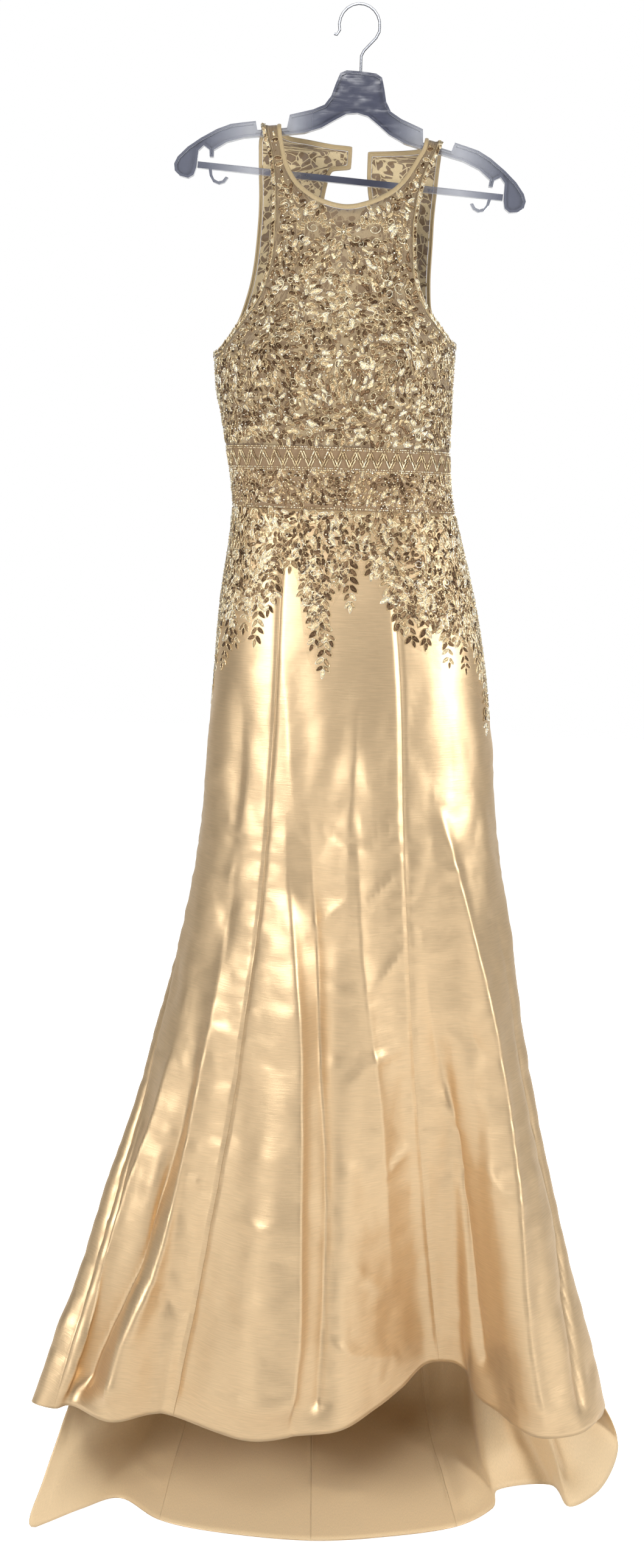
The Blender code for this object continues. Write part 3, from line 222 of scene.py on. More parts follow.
BACK_RIGHT = (
    (0.0855, -0.1520, 1, 0.1055, -0.1570, 1),
    (0.0848, -0.1537, 1, 0.1058, -0.1587, 1),
    (0.0835, -0.1565, 1, 0.1058, -0.1625, 1),
    (0.0760, -0.1600, 1, 0.1055, -0.1710, 1),
    (0.0600, -0.1615, 1, 0.1050, -0.1770, 1),
    (0.0390, -0.1625, 1, 0.1045, -0.1830, 1),
    (0.0165, -0.1640, 1, 0.1040, -0.1900, 1),
    (0.0165, -0.1880, 1, 0.1030, -0.2080, 1),
    (0.0180, -0.2060, 1, 0.1020, -0.2220, 1),
    (0.0215, -0.2270, 1, 0.1012, -0.2420, 1),
    (0.0235, -0.2550, 1, 0.1010, -0.2700, 1),
    (0.0200, -0.2880, 1, 0.1005, -0.3060, 1),
    (0.0080, -0.3160, 1, 0.1025, -0.3430, 1),
    (CENTRE, -0.3330, 0.4, 0.1110, -0.3650, 1, (0.0600, -0.3560)),
    (CENTRE, -0.3360, 0, 0.1220, -0.3820, 1, (0.0620, -0.3720)),
    (CENTRE, -0.3400, 0, RIGHT, -0.3970, 0.3, (0.0660, -0.3860)),
    (CENTRE, -0.3500, 0, RIGHT, -0.4000, 0, (0.0660, -0.3940)),
    (CENTRE, -0.4300, 0, RIGHT, -0.4500, 0),
    (CENTRE, MIDRIFF_Z, 0, RIGHT, MIDRIFF_Z, 0),
)
UNDERARM_BOUND = 0.3   # marks the row where each armhole meets its side seam

# Upper edge of the bust lining, seen through the net: ring angle and height.
SWEETHEART = (
    (180.0, -0.4250), (188.0, -0.4230), (196.0, -0.4190), (206.0, -0.4070), (216.0, -0.3920),
    (226.0, -0.3780), (238.5, -0.3690), (254.0, -0.3730), (266.0, -0.3960), (272.7, -0.4250),
    (278.0, -0.3950), (290.0, -0.3670), (306.0, -0.3600), (317.0, -0.3690), (326.0, -0.3850),
    (337.0, -0.3980), (347.0, -0.4040), (360.0, -0.4060),
)

# Lower edge of the hip lace, pointed where its sprays hang lowest: ring angle and height.
HIP_LACE = (
    (180.0, -0.905), (187.0, -0.862), (199.0, -0.800), (208.0, -0.768), (217.0, -0.782),
    (227.5, -0.745), (238.0, -0.700), (242.5, -0.684), (247.0, -0.708), (251.5, -0.790),
    (256.0, -0.816), (260.5, -0.745), (265.0, -0.722), (269.0, -0.705), (273.0, -0.690),
    (280.0, -0.694), (285.5, -0.722), (290.5, -0.762), (296.0, -0.778), (302.0, -0.784),
    (308.0, -0.802), (315.0, -0.812), (322.0, -0.822), (330.0, -0.828), (340.0, -0.848),
    (352.0, -0.885), (360.0, -0.905), (373.0, -0.840), (386.0, -0.790), (402.0, -0.755),
    (424.0, -0.735), (437.0, -0.760), (450.0, -0.790), (463.0, -0.760), (476.0, -0.735),
    (500.0, -0.755), (516.0, -0.790), (528.0, -0.840), (540.0, -0.905),
)

# ---------------------------------------------------------------- curves through tables
def steady(xs, ys, at):
    """A smooth curve through a table that never overshoots its rows."""
    xs, ys, at = (np.asarray(v, float) for v in (xs, ys, at))
    step = np.diff(xs)
    rise = np.diff(ys) / step
    slope = np.zeros_like(ys)
    same = rise[:-1] * rise[1:] > 0
    one, two = 2 * step[1:] + step[:-1], step[1:] + 2 * step[:-1]
    safe = np.where(same, rise[:-1], 1.0), np.where(same, rise[1:], 1.0)
    slope[1:-1] = np.where(same, (one + two) / (one / safe[0] + two / safe[1]), 0.0)
    slope[0], slope[-1] = rise[0], rise[-1]
    i = np.clip(np.searchsorted(xs, at, side="right") - 1, 0, len(xs) - 2)
    h = step[i]
    t = np.clip((at - xs[i]) / h, 0.0, 1.0)
    return (
        (2 * t**3 - 3 * t**2 + 1) * ys[i]
        + (t**3 - 2 * t**2 + t) * h * slope[i]
        + (3 * t**2 - 2 * t**3) * ys[i + 1]
        + (t**3 - t**2) * h * slope[i + 1]
    )


def body(column, z):
    """One size of the body's rings at the heights z."""
    rows = np.array(BODY)[::-1]
    return steady(rows[:, 0], rows[:, BODY_COLUMNS.index(column)], z)


def shoulder_z(x):
    """Height of the line where each strap crosses its hanger arm."""
    return np.where(x < 0, -0.1415 + 0.087 * (x + 0.0915), -0.1520 - 0.25 * (x - 0.0855))


def ring(angle, z):
    """Points of the gown's upper body at ring angles and heights."""
    angle, z = np.broadcast_arrays(np.asarray(angle, float), np.asarray(z, float))
    c, s = np.cos(np.radians(angle)), np.sin(np.radians(angle))
    left, right = body("x_left", z), body("x_right", z)
    x = (left + right) / 2 + (right - left) / 2 * c
    side = body("y_side", z)
    depth = np.where(s < 0, body("y_front", z), body("y_back", z)) - side
    y = side + depth * np.abs(s) ** FULLNESS
    for cup in (-CUP_X, CUP_X):
        off = ((x - (left + right) / 2 - cup) / CUP_WIDE) ** 2 + ((z - CUP_Z) / CUP_TALL) ** 2
        y = y - np.where(s < 0, CUP_RISE * np.exp(-off / 2) * np.abs(s) ** 0.5, 0.0)
    below = np.clip((shoulder_z(x) - z) / STRAP_ROUND, 0.0, 1.0)
    return np.stack([x, y * np.sqrt(1 - (1 - below) ** 2), z], -1)


def ring_angle(x, z, back):
    """The ring angle of a point given by x and z, on the front or on the back."""
    left, right = body("x_left", z), body("x_right", z)
    c = np.clip((x - (left + right) / 2) * 2 / (right - left), -1.0, 1.0)
    angle = np.degrees(np.arccos(c))
    return 360 + angle if back else 360 - angle


def run_along(points):
    """Lengths along the first axis of a line or a grid of points."""
    steps = np.linalg.norm(np.diff(points, axis=0), axis=-1)
    return np.concatenate([np.zeros((1, *steps.shape[1:])), np.cumsum(steps, axis=0)])


def unit(vectors, least=0.0):
    return vectors / np.maximum(np.linalg.norm(vectors, axis=-1, keepdims=True), least)


def girth_table():
    """Ring angles and the lengths to them round the bodice, from its left side seam."""
    angle = np.arange(180.0, 540.01, 0.25)
    return angle, run_along(ring(angle, GIRTH_Z)[:, :2])


# ---------------------------------------------------------------- the skirt
def fold_row(name):
    return [row[0] for row in FOLDS].index(name)


def fold_values(place):
    """Ring angle, hem and bend at places along the fold table, which closes on itself."""
    place = np.asarray(place, float)
    count = len(FOLDS)
    angle = np.array([row[1] for row in FOLDS])
    hem = np.array([row[2:5] for row in FOLDS])
    bend = np.array([row[5:8] if len(row) > 5 else row[2:5] for row in FOLDS])
    i = np.floor(place).astype(int)
    t = (place - i)[:, None]
    around = np.concatenate([angle[-3:] - 360, angle, angle[:4] + 360])
    at = np.arange(len(around)) - 3.0
    turned = steady(at, around, np.mod(place, count)) + 360 * (place // count)
    found = []
    for values in (hem, bend):
        a, b, c, d = (values[(i + k) % count] for k in (-1, 0, 1, 2))
        square, cube = 2 * a - 5 * b + 4 * c - d, 3 * b - a - 3 * c + d
        found.append(0.5 * (2 * b + (c - a) * t + square * t**2 + cube * t**3))
    return turned, found[0], found[1]


def fall(place):
    """The lines that the cloth follows from the knee ring to the hem, one for each place."""
    angle, hem, bend = fold_values(place)
    top = ring(angle, KNEE_Z)
    start = (ring(angle, KNEE_Z + 0.01) - ring(angle, KNEE_Z - 0.01)) / 0.02
    start = start * (bend[:, 2:] - KNEE_Z)
    end = FLARE * (bend - top)
    end[:, 2] = bend[:, 2] - KNEE_Z
    lie = np.linalg.norm(hem - bend, axis=1)
    turn = np.minimum(BEND_RADIUS, 0.5 * lie)
    cut = 1 - turn / np.linalg.norm(bend - top, axis=1)
    s = np.linspace(0, 1, 50)[:, None, None] * cut[None, :, None]
    leg = (
        (2 * s**3 - 3 * s**2 + 1) * top
        + (s**3 - 2 * s**2 + s) * start
        + (3 * s**2 - 2 * s**3) * bend
        + (s**3 - s**2) * end
    )
    out = (hem - bend) / np.maximum(lie, 1e-9)[:, None]
    landed = bend + out * turn[:, None]
    q = np.linspace(0, 1, 12)[1:, None, None]
    arc = leg[-1] * (1 - q) ** 2 + bend * 2 * q * (1 - q) + landed * q**2
    r = np.linspace(0, 1, 10)[1:, None, None]
    rest = landed + (hem - landed) * r
    line = np.concatenate([leg, arc, rest])
    line[..., 2] = np.maximum(line[..., 2], FLOOR_Z)
    return line


def skirt(place, down):
    """Points of the skirt: down runs 0 to 1 from waist to knee ring and 1 to 2 on to the hem."""
    place, down = np.asarray(place, float), np.asarray(down, float)
    angle = fold_values(place)[0]
    line = fall(place)
    reach = run_along(line)
    grid = np.empty((len(place), len(down), 3))
    upper = down <= 1
    heights = WAIST_Z + (KNEE_Z - WAIST_Z) * np.maximum(down[upper], 0)
    grid[:, upper] = ring(angle[:, None], heights[None, :])
    for i in range(len(place)):
        along = np.minimum(down[~upper] - 1, 1) * reach[-1, i]
        for k in range(3):
            grid[i, ~upper, k] = np.interp(along, reach[:, i], line[:, i, k])
    return grid


def outward(along, downward):
    return unit(np.cross(along, -downward))


def skirt_normals(place, down):
    a, b = 0.02, 0.004
    along = skirt(place + a, down) - skirt(place - a, down)
    low = skirt(place, np.minimum(down + b, 2.0))
    high = skirt(place, np.maximum(down - b, 0.0))
    return outward(along, low - high)


# ---------------------------------------------------------------- the bodice
def edge_rows(table, back):
    """A table's inner edge, outer edge and middle as lengths round the bodice and heights."""
    angles, lengths = girth_table()
    points = []
    for row in table:
        found = []
        for x, z in ((row[0], row[1]), (row[3], row[4])) + tuple(row[6:]):
            if x in (LEFT, RIGHT):
                x = float(body("x_left" if x == LEFT else "x_right", z))
            elif x == CENTRE:
                x = float(body("x_left", z) + body("x_right", z)) / 2
            found.append((np.interp(ring_angle(x, z, back), angles, lengths), z))
        if len(found) < 3:
            found.append(tuple((a + b) / 2 for a, b in zip(*found)))
        points.append(found)
    bound = np.array([(row[2], row[5]) for row in table], float) * BINDING_WIDTH
    return np.array(points), bound


def inset(line, width, toward):
    """A line in x and z moved sideways by a width at each of its points, toward another line."""
    ahead = unit(np.diff(line, axis=0))
    after = np.vstack([ahead, ahead[-1:]])
    mean = unit(np.vstack([ahead[:1], ahead]) + after, 1e-6)
    side = np.stack([-mean[:, 1], mean[:, 0]], 1)
    side = side * np.sign((side * (toward - line)).sum())
    lengthen = 1 / np.maximum(np.abs((mean * after).sum(1)), 0.6)
    return line + side * (width * lengthen)[:, None]


class Bodice:
    """One piece of the bodice, between an inner and an outer edge, and the bindings on them."""

    def __init__(self, table, back):
        points, bound = edge_rows(table, back)
        self.rows = len(table)
        self.underarms = [i for i, row in enumerate(table) if row[5] == UNDERARM_BOUND]
        inner, outer = points[:, 0], points[:, 1]
        self.edges = {"inner": inner, "outer": outer, "mid": points[:, 2]}
        for name, line, wide, toward in (("inner", inner, bound[:, 0], outer),
                                         ("outer", outer, bound[:, 1], inner)):
            clear = np.where(wide > 0, wide + 2.0 * SEAM, 0)
            self.edges[name + "_net"] = inset(line, clear, toward)
            self.edges[name + "_bound"] = inset(line, wide, toward)

    def curve(self, edge, t):
        """Length round the bodice and height along an edge, t counting the rows of its table."""
        at = np.arange(self.rows, dtype=float)
        line = self.edges[edge]
        return steady(at, line[:, 0], t), steady(at, line[:, 1], t)

    def grid(self, first, last, t, s):
        """Ring angles and heights of a grid between two edges."""
        angles, lengths = girth_table()
        a, b = (np.stack(self.curve(edge, t), -1)[:, None] for edge in (first, last))
        s = np.asarray(s)[None, :, None]
        line = a * (1 - s) + b * s
        if last == "outer_net":
            mid = np.stack(self.curve("mid", t), -1)[:, None]
            line = a * (1 - s) ** 2 + mid * 2 * s * (1 - s) + b * s**2
        return np.interp(line[..., 0], lengths, angles), line[..., 1]


def ring_normals(angle, z):
    da, dz = 0.2, 0.0002
    along = ring(angle + da, z) - ring(angle - da, z)
    return outward(along, ring(angle, z - dz) - ring(angle, z + dz))


# ---------------------------------------------------------------- meshes
def grid_mesh(name, points, normals):
    """A sheet through a grid of points, facing as the normals do, with its flat cut as UV."""
    m, n = points.shape[:2]
    shell = bmesh.new()
    bmesh.ops.create_grid(shell, x_segments=m - 1, y_segments=n - 1, size=0.5, calc_uvs=True)
    u = run_along(points)
    u = u - u[m // 2]
    v = run_along(points.swapaxes(0, 1)).T
    at = {}
    for vert in shell.verts:
        at[vert] = round((vert.co.x + 0.5) * (m - 1)), round((vert.co.y + 0.5) * (n - 1))
        vert.co = points[at[vert]]
    cut = shell.loops.layers.uv.verify()
    for face in shell.faces:
        for loop in face.loops:
            i, j = at[loop.vert]
            loop[cut].uv = (u[i, j], -v[i, j])
    shell.faces.ensure_lookup_table()
    facing = 0.0
    for face in list(shell.faces)[::50]:
        face.normal_update()
        facing += face.normal.dot(Vector(normals[at[face.loops[0].vert]]))
    if facing < 0:
        bmesh.ops.reverse_faces(shell, faces=shell.faces)
    mesh = bpy.data.meshes.new(name)
    shell.to_mesh(mesh)
    shell.free()
    mesh.shade_smooth()
    mesh.uv_layers[0].name = "Cut"
    return linked(name, mesh)


def linked(name, data):
    """A new object with that name and data, in the scene."""
    thing = bpy.data.objects.new(name, data)
    bpy.context.scene.collection.objects.link(thing)
    return thing


def grid_normals(points):
    return unit(np.cross(np.gradient(points, axis=0), -np.gradient(points, axis=1)), 1e-12)


def cloth(piece, ending, points, normals, thick, material, flat, area,
          wrong_side=None):
    """A wall of cloth in place of a CAD piece; the flat size and the area that it was cut to are
    not used.
    """
    name = piece + ending
    thing = grid_mesh(name, points, normals)
    step = thing.modifiers.new("Thickness", "SOLIDIFY")
    step.thickness = thick
    step.offset = 0.0
    thing.data.materials.append(material)
    if wrong_side is not None:
        thing.data.materials.append(wrong_side)
        step.material_offset = 1
    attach(thing, GOWN)
    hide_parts(piece)


# ---------------------------------------------------------------- materials
class Look:
    """A Principled material, with its constant values on the shader's own sockets."""

    def __init__(self, name, colour, roughness, metallic=0.0, **sockets):
        self.material = bpy.data.materials.new(name)
        self.material.use_nodes = True
        self.tree = self.material.node_tree
        self.shader = self.tree.nodes["Principled BSDF"]
        self.set(Base_Color=(*colour, 1.0), Roughness=roughness, Metallic=metallic, **sockets)

    def set(self, **sockets):
        """Gives each named socket of the shader a value or a link."""
        for name, value in sockets.items():
            join(self.tree, value, self.shader.inputs[name.replace("_", " ")])

    def node(self, kind, settings=(), **inputs):
        return node(self.tree, kind, settings, **inputs)

    def at_cut(self, *scale):
        """The flat cut's own coordinates in metres, times a scale."""
        at = self.node("ShaderNodeUVMap", {"uv_map": "Cut"}).outputs["UV"]
        return self.node("ShaderNodeMapping", Vector=at, Scale=scale).outputs["Vector"]

    def at_object(self, *scale):
        at = self.node("ShaderNodeTexCoord").outputs["Object"]
        return self.node("ShaderNodeMapping", Vector=at, Scale=scale or (1, 1, 1)).outputs["Vector"]

    def noise(self, at, scale=1.0, **inputs):
        return self.node("ShaderNodeTexNoise", Vector=at, Scale=scale, **inputs).outputs["Fac"]

    def cells(self, at, scale=1.0, **settings):
        made = self.node("ShaderNodeTexVoronoi", settings, Vector=at, Scale=scale)
        return made.outputs["Distance"]

    def between(self, value, low, high, start=0.0, end=1.0):
        """The value's stretch from start to end, laid over low to high."""
        return self.node("ShaderNodeMapRange", Value=value, From_Min=start, From_Max=end,
                         To_Min=low, To_Max=high).outputs["Result"]

    def math(self, operation, *values):
        return math_node(self.tree, operation, *values)

    def mix(self, share, a, b):
        made = self.node("ShaderNodeMix", {"data_type": "RGBA"}, Factor=share)
        join(self.tree, a, made.inputs[6])
        join(self.tree, b, made.inputs[7])
        return made.outputs[2]

    def ramp(self, value, *stops):
        """A colour ramp through places and colours, or places and grey levels."""
        made = self.node("ShaderNodeValToRGB", Fac=value)
        band = made.color_ramp
        while len(band.elements) < len(stops):
            band.elements.new(0.5)
        for element, (place, colour) in zip(band.elements, stops):
            element.position = place
            element.color = (*(colour if isinstance(colour, tuple) else (colour,) * 3), 1.0)
        return made.outputs["Color"]

    def bump(self, *layers):
        """Bumps laid over each other, each a height, a distance and a strength."""
        under = None
        for height, distance, strength in layers:
            made = self.node("ShaderNodeBump", Height=height, Distance=distance, Strength=strength)
            if under is not None:
                self.tree.links.new(under, made.inputs["Normal"])
            under = made.outputs["Normal"]
        self.set(Normal=under)


def join(tree, value, socket):
    if isinstance(value, bpy.types.NodeSocket):
        tree.links.new(value, socket)
    else:
        socket.default_value = value


def node(tree, kind, settings=(), **inputs):
    made = tree.nodes.new(kind)
    for name, value in dict(settings).items():
        setattr(made, name, value)
    for name, value in inputs.items():
        join(tree, value, made.inputs[name.replace("_", " ")])
    return made


def math_node(tree, operation, *values):
    made = node(tree, "ShaderNodeMath", {"operation": operation})
    for value, socket in zip(values, made.inputs):
        join(tree, value, socket)
    return made.outputs["Value"]


def shade(colour, share):
    return tuple(min(1.0, c * share) for c in colour)


def satin_material(name, colour, roughness):
    """Heavy satin: a fine weave with slubs along the weft, and a soft crumple."""
    look = Look(name, colour, roughness, 0.80, Sheen_Weight=0.15, Sheen_Roughness=0.35,
                Sheen_Tint=(1.0, 0.90, 0.70, 1.0))
    weave = look.noise(look.at_cut(900, 2400, 1), Detail=2.0)
    slub = look.noise(look.at_cut(45, 620, 1), Detail=3.0)
    soft = look.noise(look.at_object(), 16.0, Detail=3.0)
    look.bump((soft, 0.006, 0.22), (slub, 0.0004, 0.30), (weave, 0.0002, 0.35))
    look.set(Base_Color=look.ramp(slub, (0.30, shade(colour, 0.93)), (0.72, shade(colour, 1.06))))
    return look.material


def net_material(name, colour, alpha, flowers=0.0, threads=1.0, bloom=(0.72, 0.58, 0.34)):
    """Fine net, a little open, with woven lace flowers where asked."""
    look = Look(name, colour, 0.75, Sheen_Weight=0.3)
    mesh = look.cells(look.at_cut(760, 760, 1), feature="DISTANCE_TO_EDGE")
    cord = look.cells(look.at_cut(95, 95, 1), feature="DISTANCE_TO_EDGE")
    blossom = look.noise(look.at_cut(75, 75, 1), Detail=1.0)
    woven = look.math("MAXIMUM", look.ramp(blossom, (0.52, 0.0), (0.55, 1.0)),
                      look.ramp(cord, (0.03, 1.0), (0.06, 0.0)))
    share = look.math("MULTIPLY", woven, flowers)
    cover = look.ramp(mesh, (0.06, threads), (0.16, alpha))
    look.set(Base_Color=look.mix(share, (*colour, 1.0), (*bloom, 1.0)),
             Alpha=look.math("MAXIMUM", cover, share))
    look.bump((mesh, 0.0004, 0.5), (woven, 0.0008, 0.5))
    return look.material


def plain_weave(name, colour, roughness, threads=1500.0):
    look = Look(name, colour, roughness, Sheen_Weight=0.2)
    one = look.noise(look.at_cut(threads, threads / 6, 1))
    two = look.noise(look.at_cut(threads / 6, threads, 1))
    look.bump((one, 0.0003, 0.5), (two, 0.0003, 0.5))
    look.set(Base_Color=look.ramp(one, (0.3, shade(colour, 0.92)), (0.7, shade(colour, 1.06))))
    return look.material


def clear_plastic(name, dark, mid, rim):
    """Clear moulded plastic, dark where thick, see-through on the arms, with a painted highlight
    where its surface turns away at the edges.
    """
    look = Look(name, mid, 0.08, IOR=1.49, Coat_Weight=0.6)
    facing = look.node("ShaderNodeLayerWeight", Blend=0.35).outputs["Facing"]
    sideways = look.node("ShaderNodeSeparateXYZ", Vector=look.at_object()).outputs["X"]
    thick = look.ramp(look.math("ABSOLUTE", sideways),
                      (0.035, 1.0), (0.075, 0.25), (0.13, 0.1), (0.185, 0.75))
    # painted highlight: where the surface turns away from the view, the colour turns to the pale
    # rim colour in place of reflected light
    edge = look.ramp(facing, (0.35, 0.0), (0.75, 1.0))
    inside = look.mix(thick, (*mid, 1.0), (*dark, 1.0))
    marks = look.noise(look.at_object(30, 60, 220), Detail=4.0)
    wavy = look.noise(look.at_object(), 60.0, Detail=1.0)
    look.set(Base_Color=look.mix(edge, inside, (*rim, 1.0)),
             Alpha=look.between(look.math("MAXIMUM", thick, edge), 0.34, 0.95),
             Roughness=look.between(marks, 0.05, 0.22, 0.35, 0.75))
    look.bump((wavy, 0.0012, 0.35), (marks, 0.0002, 0.25))
    return look.material


def metal(name, colour, roughness):
    look = Look(name, colour, roughness, 1.0)
    wear = look.noise(look.at_object(), 900.0, Detail=3.0)
    look.bump((wear, 0.0001, 0.3))
    look.set(Roughness=look.between(wear, roughness * 0.7, roughness * 1.6, 0.3, 0.8))
    return look.material


def bead_material(name):
    """Gold and silver sequins, cord and beads, each tinted by its own attribute."""
    look = Look(name, (0.6, 0.45, 0.25), 0.3, 0.72)
    tint = look.node("ShaderNodeAttribute", {"attribute_name": "tint"}).outputs["Fac"]
    grain = look.cells(look.at_object(), 900.0)
    look.bump((grain, 0.0006, 0.8))
    look.set(Roughness=look.between(grain, 0.12, 0.42, 0.0, 0.8), Base_Color=look.ramp(
        tint, (0.0, (0.09, 0.048, 0.022)), (0.14, (0.22, 0.13, 0.065)), (0.32, (0.47, 0.33, 0.175)),
        (0.52, (0.78, 0.62, 0.37)), (0.74, (1.0, 0.90, 0.64)), (0.95, (1.0, 0.98, 0.88))))
    return look.material


# ---------------------------------------------------------------- beadwork
# Ring angle of the beadwork's own centre line at each height.
CENTRE_FRONT = ((0.0, 267.8), (-0.25, 267.8), (-0.30, 269.5), (-0.40, 273.0), (-0.46, 272.0),
                (-0.55, 269.4), (-0.60, 268.0), (-1.0, 268.0))
BANDS_Z = (-0.5290, -0.5530)      # cords above and below the zigzag of bugle beads
ZIGZAG = 0.0165                   # width of one W of the zigzag
LACE_EDGE = 0.0015                # net left bare beside the armholes
PER_DEGREE = 0.0019               # metres round the bodice for one degree of its ring, about
CHEST_DEGREE = 0.00192            # the same at the medallion of the chest
ZIP_END, ZIP_PITCH = -0.760, 0.0015   # the zip's lower end, and from tooth to tooth
ZIP_CLEAR = 2.6                   # degrees kept bare on each side of the zip
DART = ((318.0, -0.4250), (323.0, -0.4330), (328.0, -0.4395), (333.0, -0.4440), (338.0, -0.4475),
        (342.0, -0.4500))         # the bare line of the right bust dart
DART_CLEAR = 0.0042
CHEST_TOP = -0.150                # where the rows of petals start
ON_NET, ON_SATIN = 0.0006, 0.0014   # from the rings to the underside of the beadwork
LEAF_HIGH, PETAL_HIGH = 0.0018, 0.0016   # how far leaves stand up


def centre_front(z):
    heights, angles = zip(*CENTRE_FRONT)
    return np.interp(-np.asarray(z, float), [-h for h in heights], angles)


def taken(shell, tints):
    """Points, triangles and tints of a small shape, and the end of its bmesh."""
    bmesh.ops.triangulate(shell, faces=shell.faces)
    bmesh.ops.recalc_face_normals(shell, faces=shell.faces)
    shell.verts.index_update()
    points = np.array([vert.co[:] for vert in shell.verts])
    faces = np.array([[vert.index for vert in face.verts] for face in shell.faces])
    shell.free()
    return points, faces, np.full(len(points), tints, float)


def joined(*shapes):
    points, faces, tints, count = [], [], [], 0
    for p, f, t in shapes:
        points.append(p)
        faces.append(f + count)
        tints.append(t)
        count += len(p)
    return np.concatenate(points), np.concatenate(faces), np.concatenate(tints)


def petal_line(points):
    """Makes a round outline a petal, wider toward its stem and pointed at its tip."""
    points[:, 1] *= 1.0 - 0.55 * np.clip(points[:, 0], -0.5, 0.5)
    return points


def swept(shell, radius, turn, steps, merge, **ends):
    """A thin round section swept about Z, half a unit from it."""
    away = Matrix.Translation((0.5, 0, 0)) @ Matrix.Rotation(math.radians(90), 4, "X")
    bmesh.ops.create_circle(shell, segments=3, radius=radius, matrix=away, **ends)
    bmesh.ops.spin(shell, geom=[*shell.verts, *shell.edges, *shell.faces],
                   cent=(0, 0, 0), axis=(0, 0, 1), dvec=(0, 0, 0),
                   angle=math.radians(turn), steps=steps, use_merge=merge,
                   use_duplicate=False)


def petal_shape():
    return plain_shape(bmesh.ops.create_uvsphere, 0.0, petal_line,
                       u_segments=6, v_segments=3, radius=0.5,
                       matrix=Matrix.Rotation(math.radians(90), 4, "Y"))


def leaf_shape():
    """A petal with a corded rim."""
    shell = bmesh.new()
    swept(shell, 0.085, 360, 8, True)
    points, faces, tints = taken(shell, 0.42)
    points[:, 2] *= 5.0
    return joined(petal_shape(), (petal_line(points), faces, tints))


def curl_shape(hand):
    """A corded spiral of a little over one turn."""
    shell, steps = bmesh.new(), 13
    swept(shell, 0.075, 430, steps, False, cap_ends=True)
    shell.verts.index_update()
    for vert in shell.verts:
        drawn_in = 1.0 - 0.72 * ((vert.index // 3) / steps)
        vert.co.x *= drawn_in
        vert.co.y *= drawn_in * hand
        vert.co.z *= 6.0
    return taken(shell, 0.45)


def plain_shape(create, tints, line=None, **sizes):
    """One of Blender's own small shapes, with its outline changed where asked."""
    shell = bmesh.new()
    create(shell, **sizes)
    points, faces, tints = taken(shell, tints)
    return (line(points) if line else points), faces, tints


SHAPES = {
    "leaf": leaf_shape,
    "petal": petal_shape,
    "curl_left": lambda: curl_shape(-1),
    "curl_right": lambda: curl_shape(1),
    "bead": lambda: plain_shape(bmesh.ops.create_icosphere, 0.25, subdivisions=1, radius=0.5),
    "bugle": lambda: plain_shape(bmesh.ops.create_cone, 0.35, cap_ends=True, segments=5,
                                 radius1=0.5, radius2=0.5, depth=1.0,
                                 matrix=Matrix.Rotation(math.radians(90), 4, "Y")),
    "tooth": lambda: plain_shape(bmesh.ops.create_cube, 0.0, size=1.0),
}


def frames(angle, z):
    """Points of the cloth with the ways across it, up it and out of it."""
    point, out = ring(angle, z), ring_normals(angle, z)
    across = ring(angle + 0.2, z) - ring(angle - 0.2, z)
    across = unit(across - out * (across * out).sum(-1, keepdims=True))
    return point, across, np.cross(out, across), out


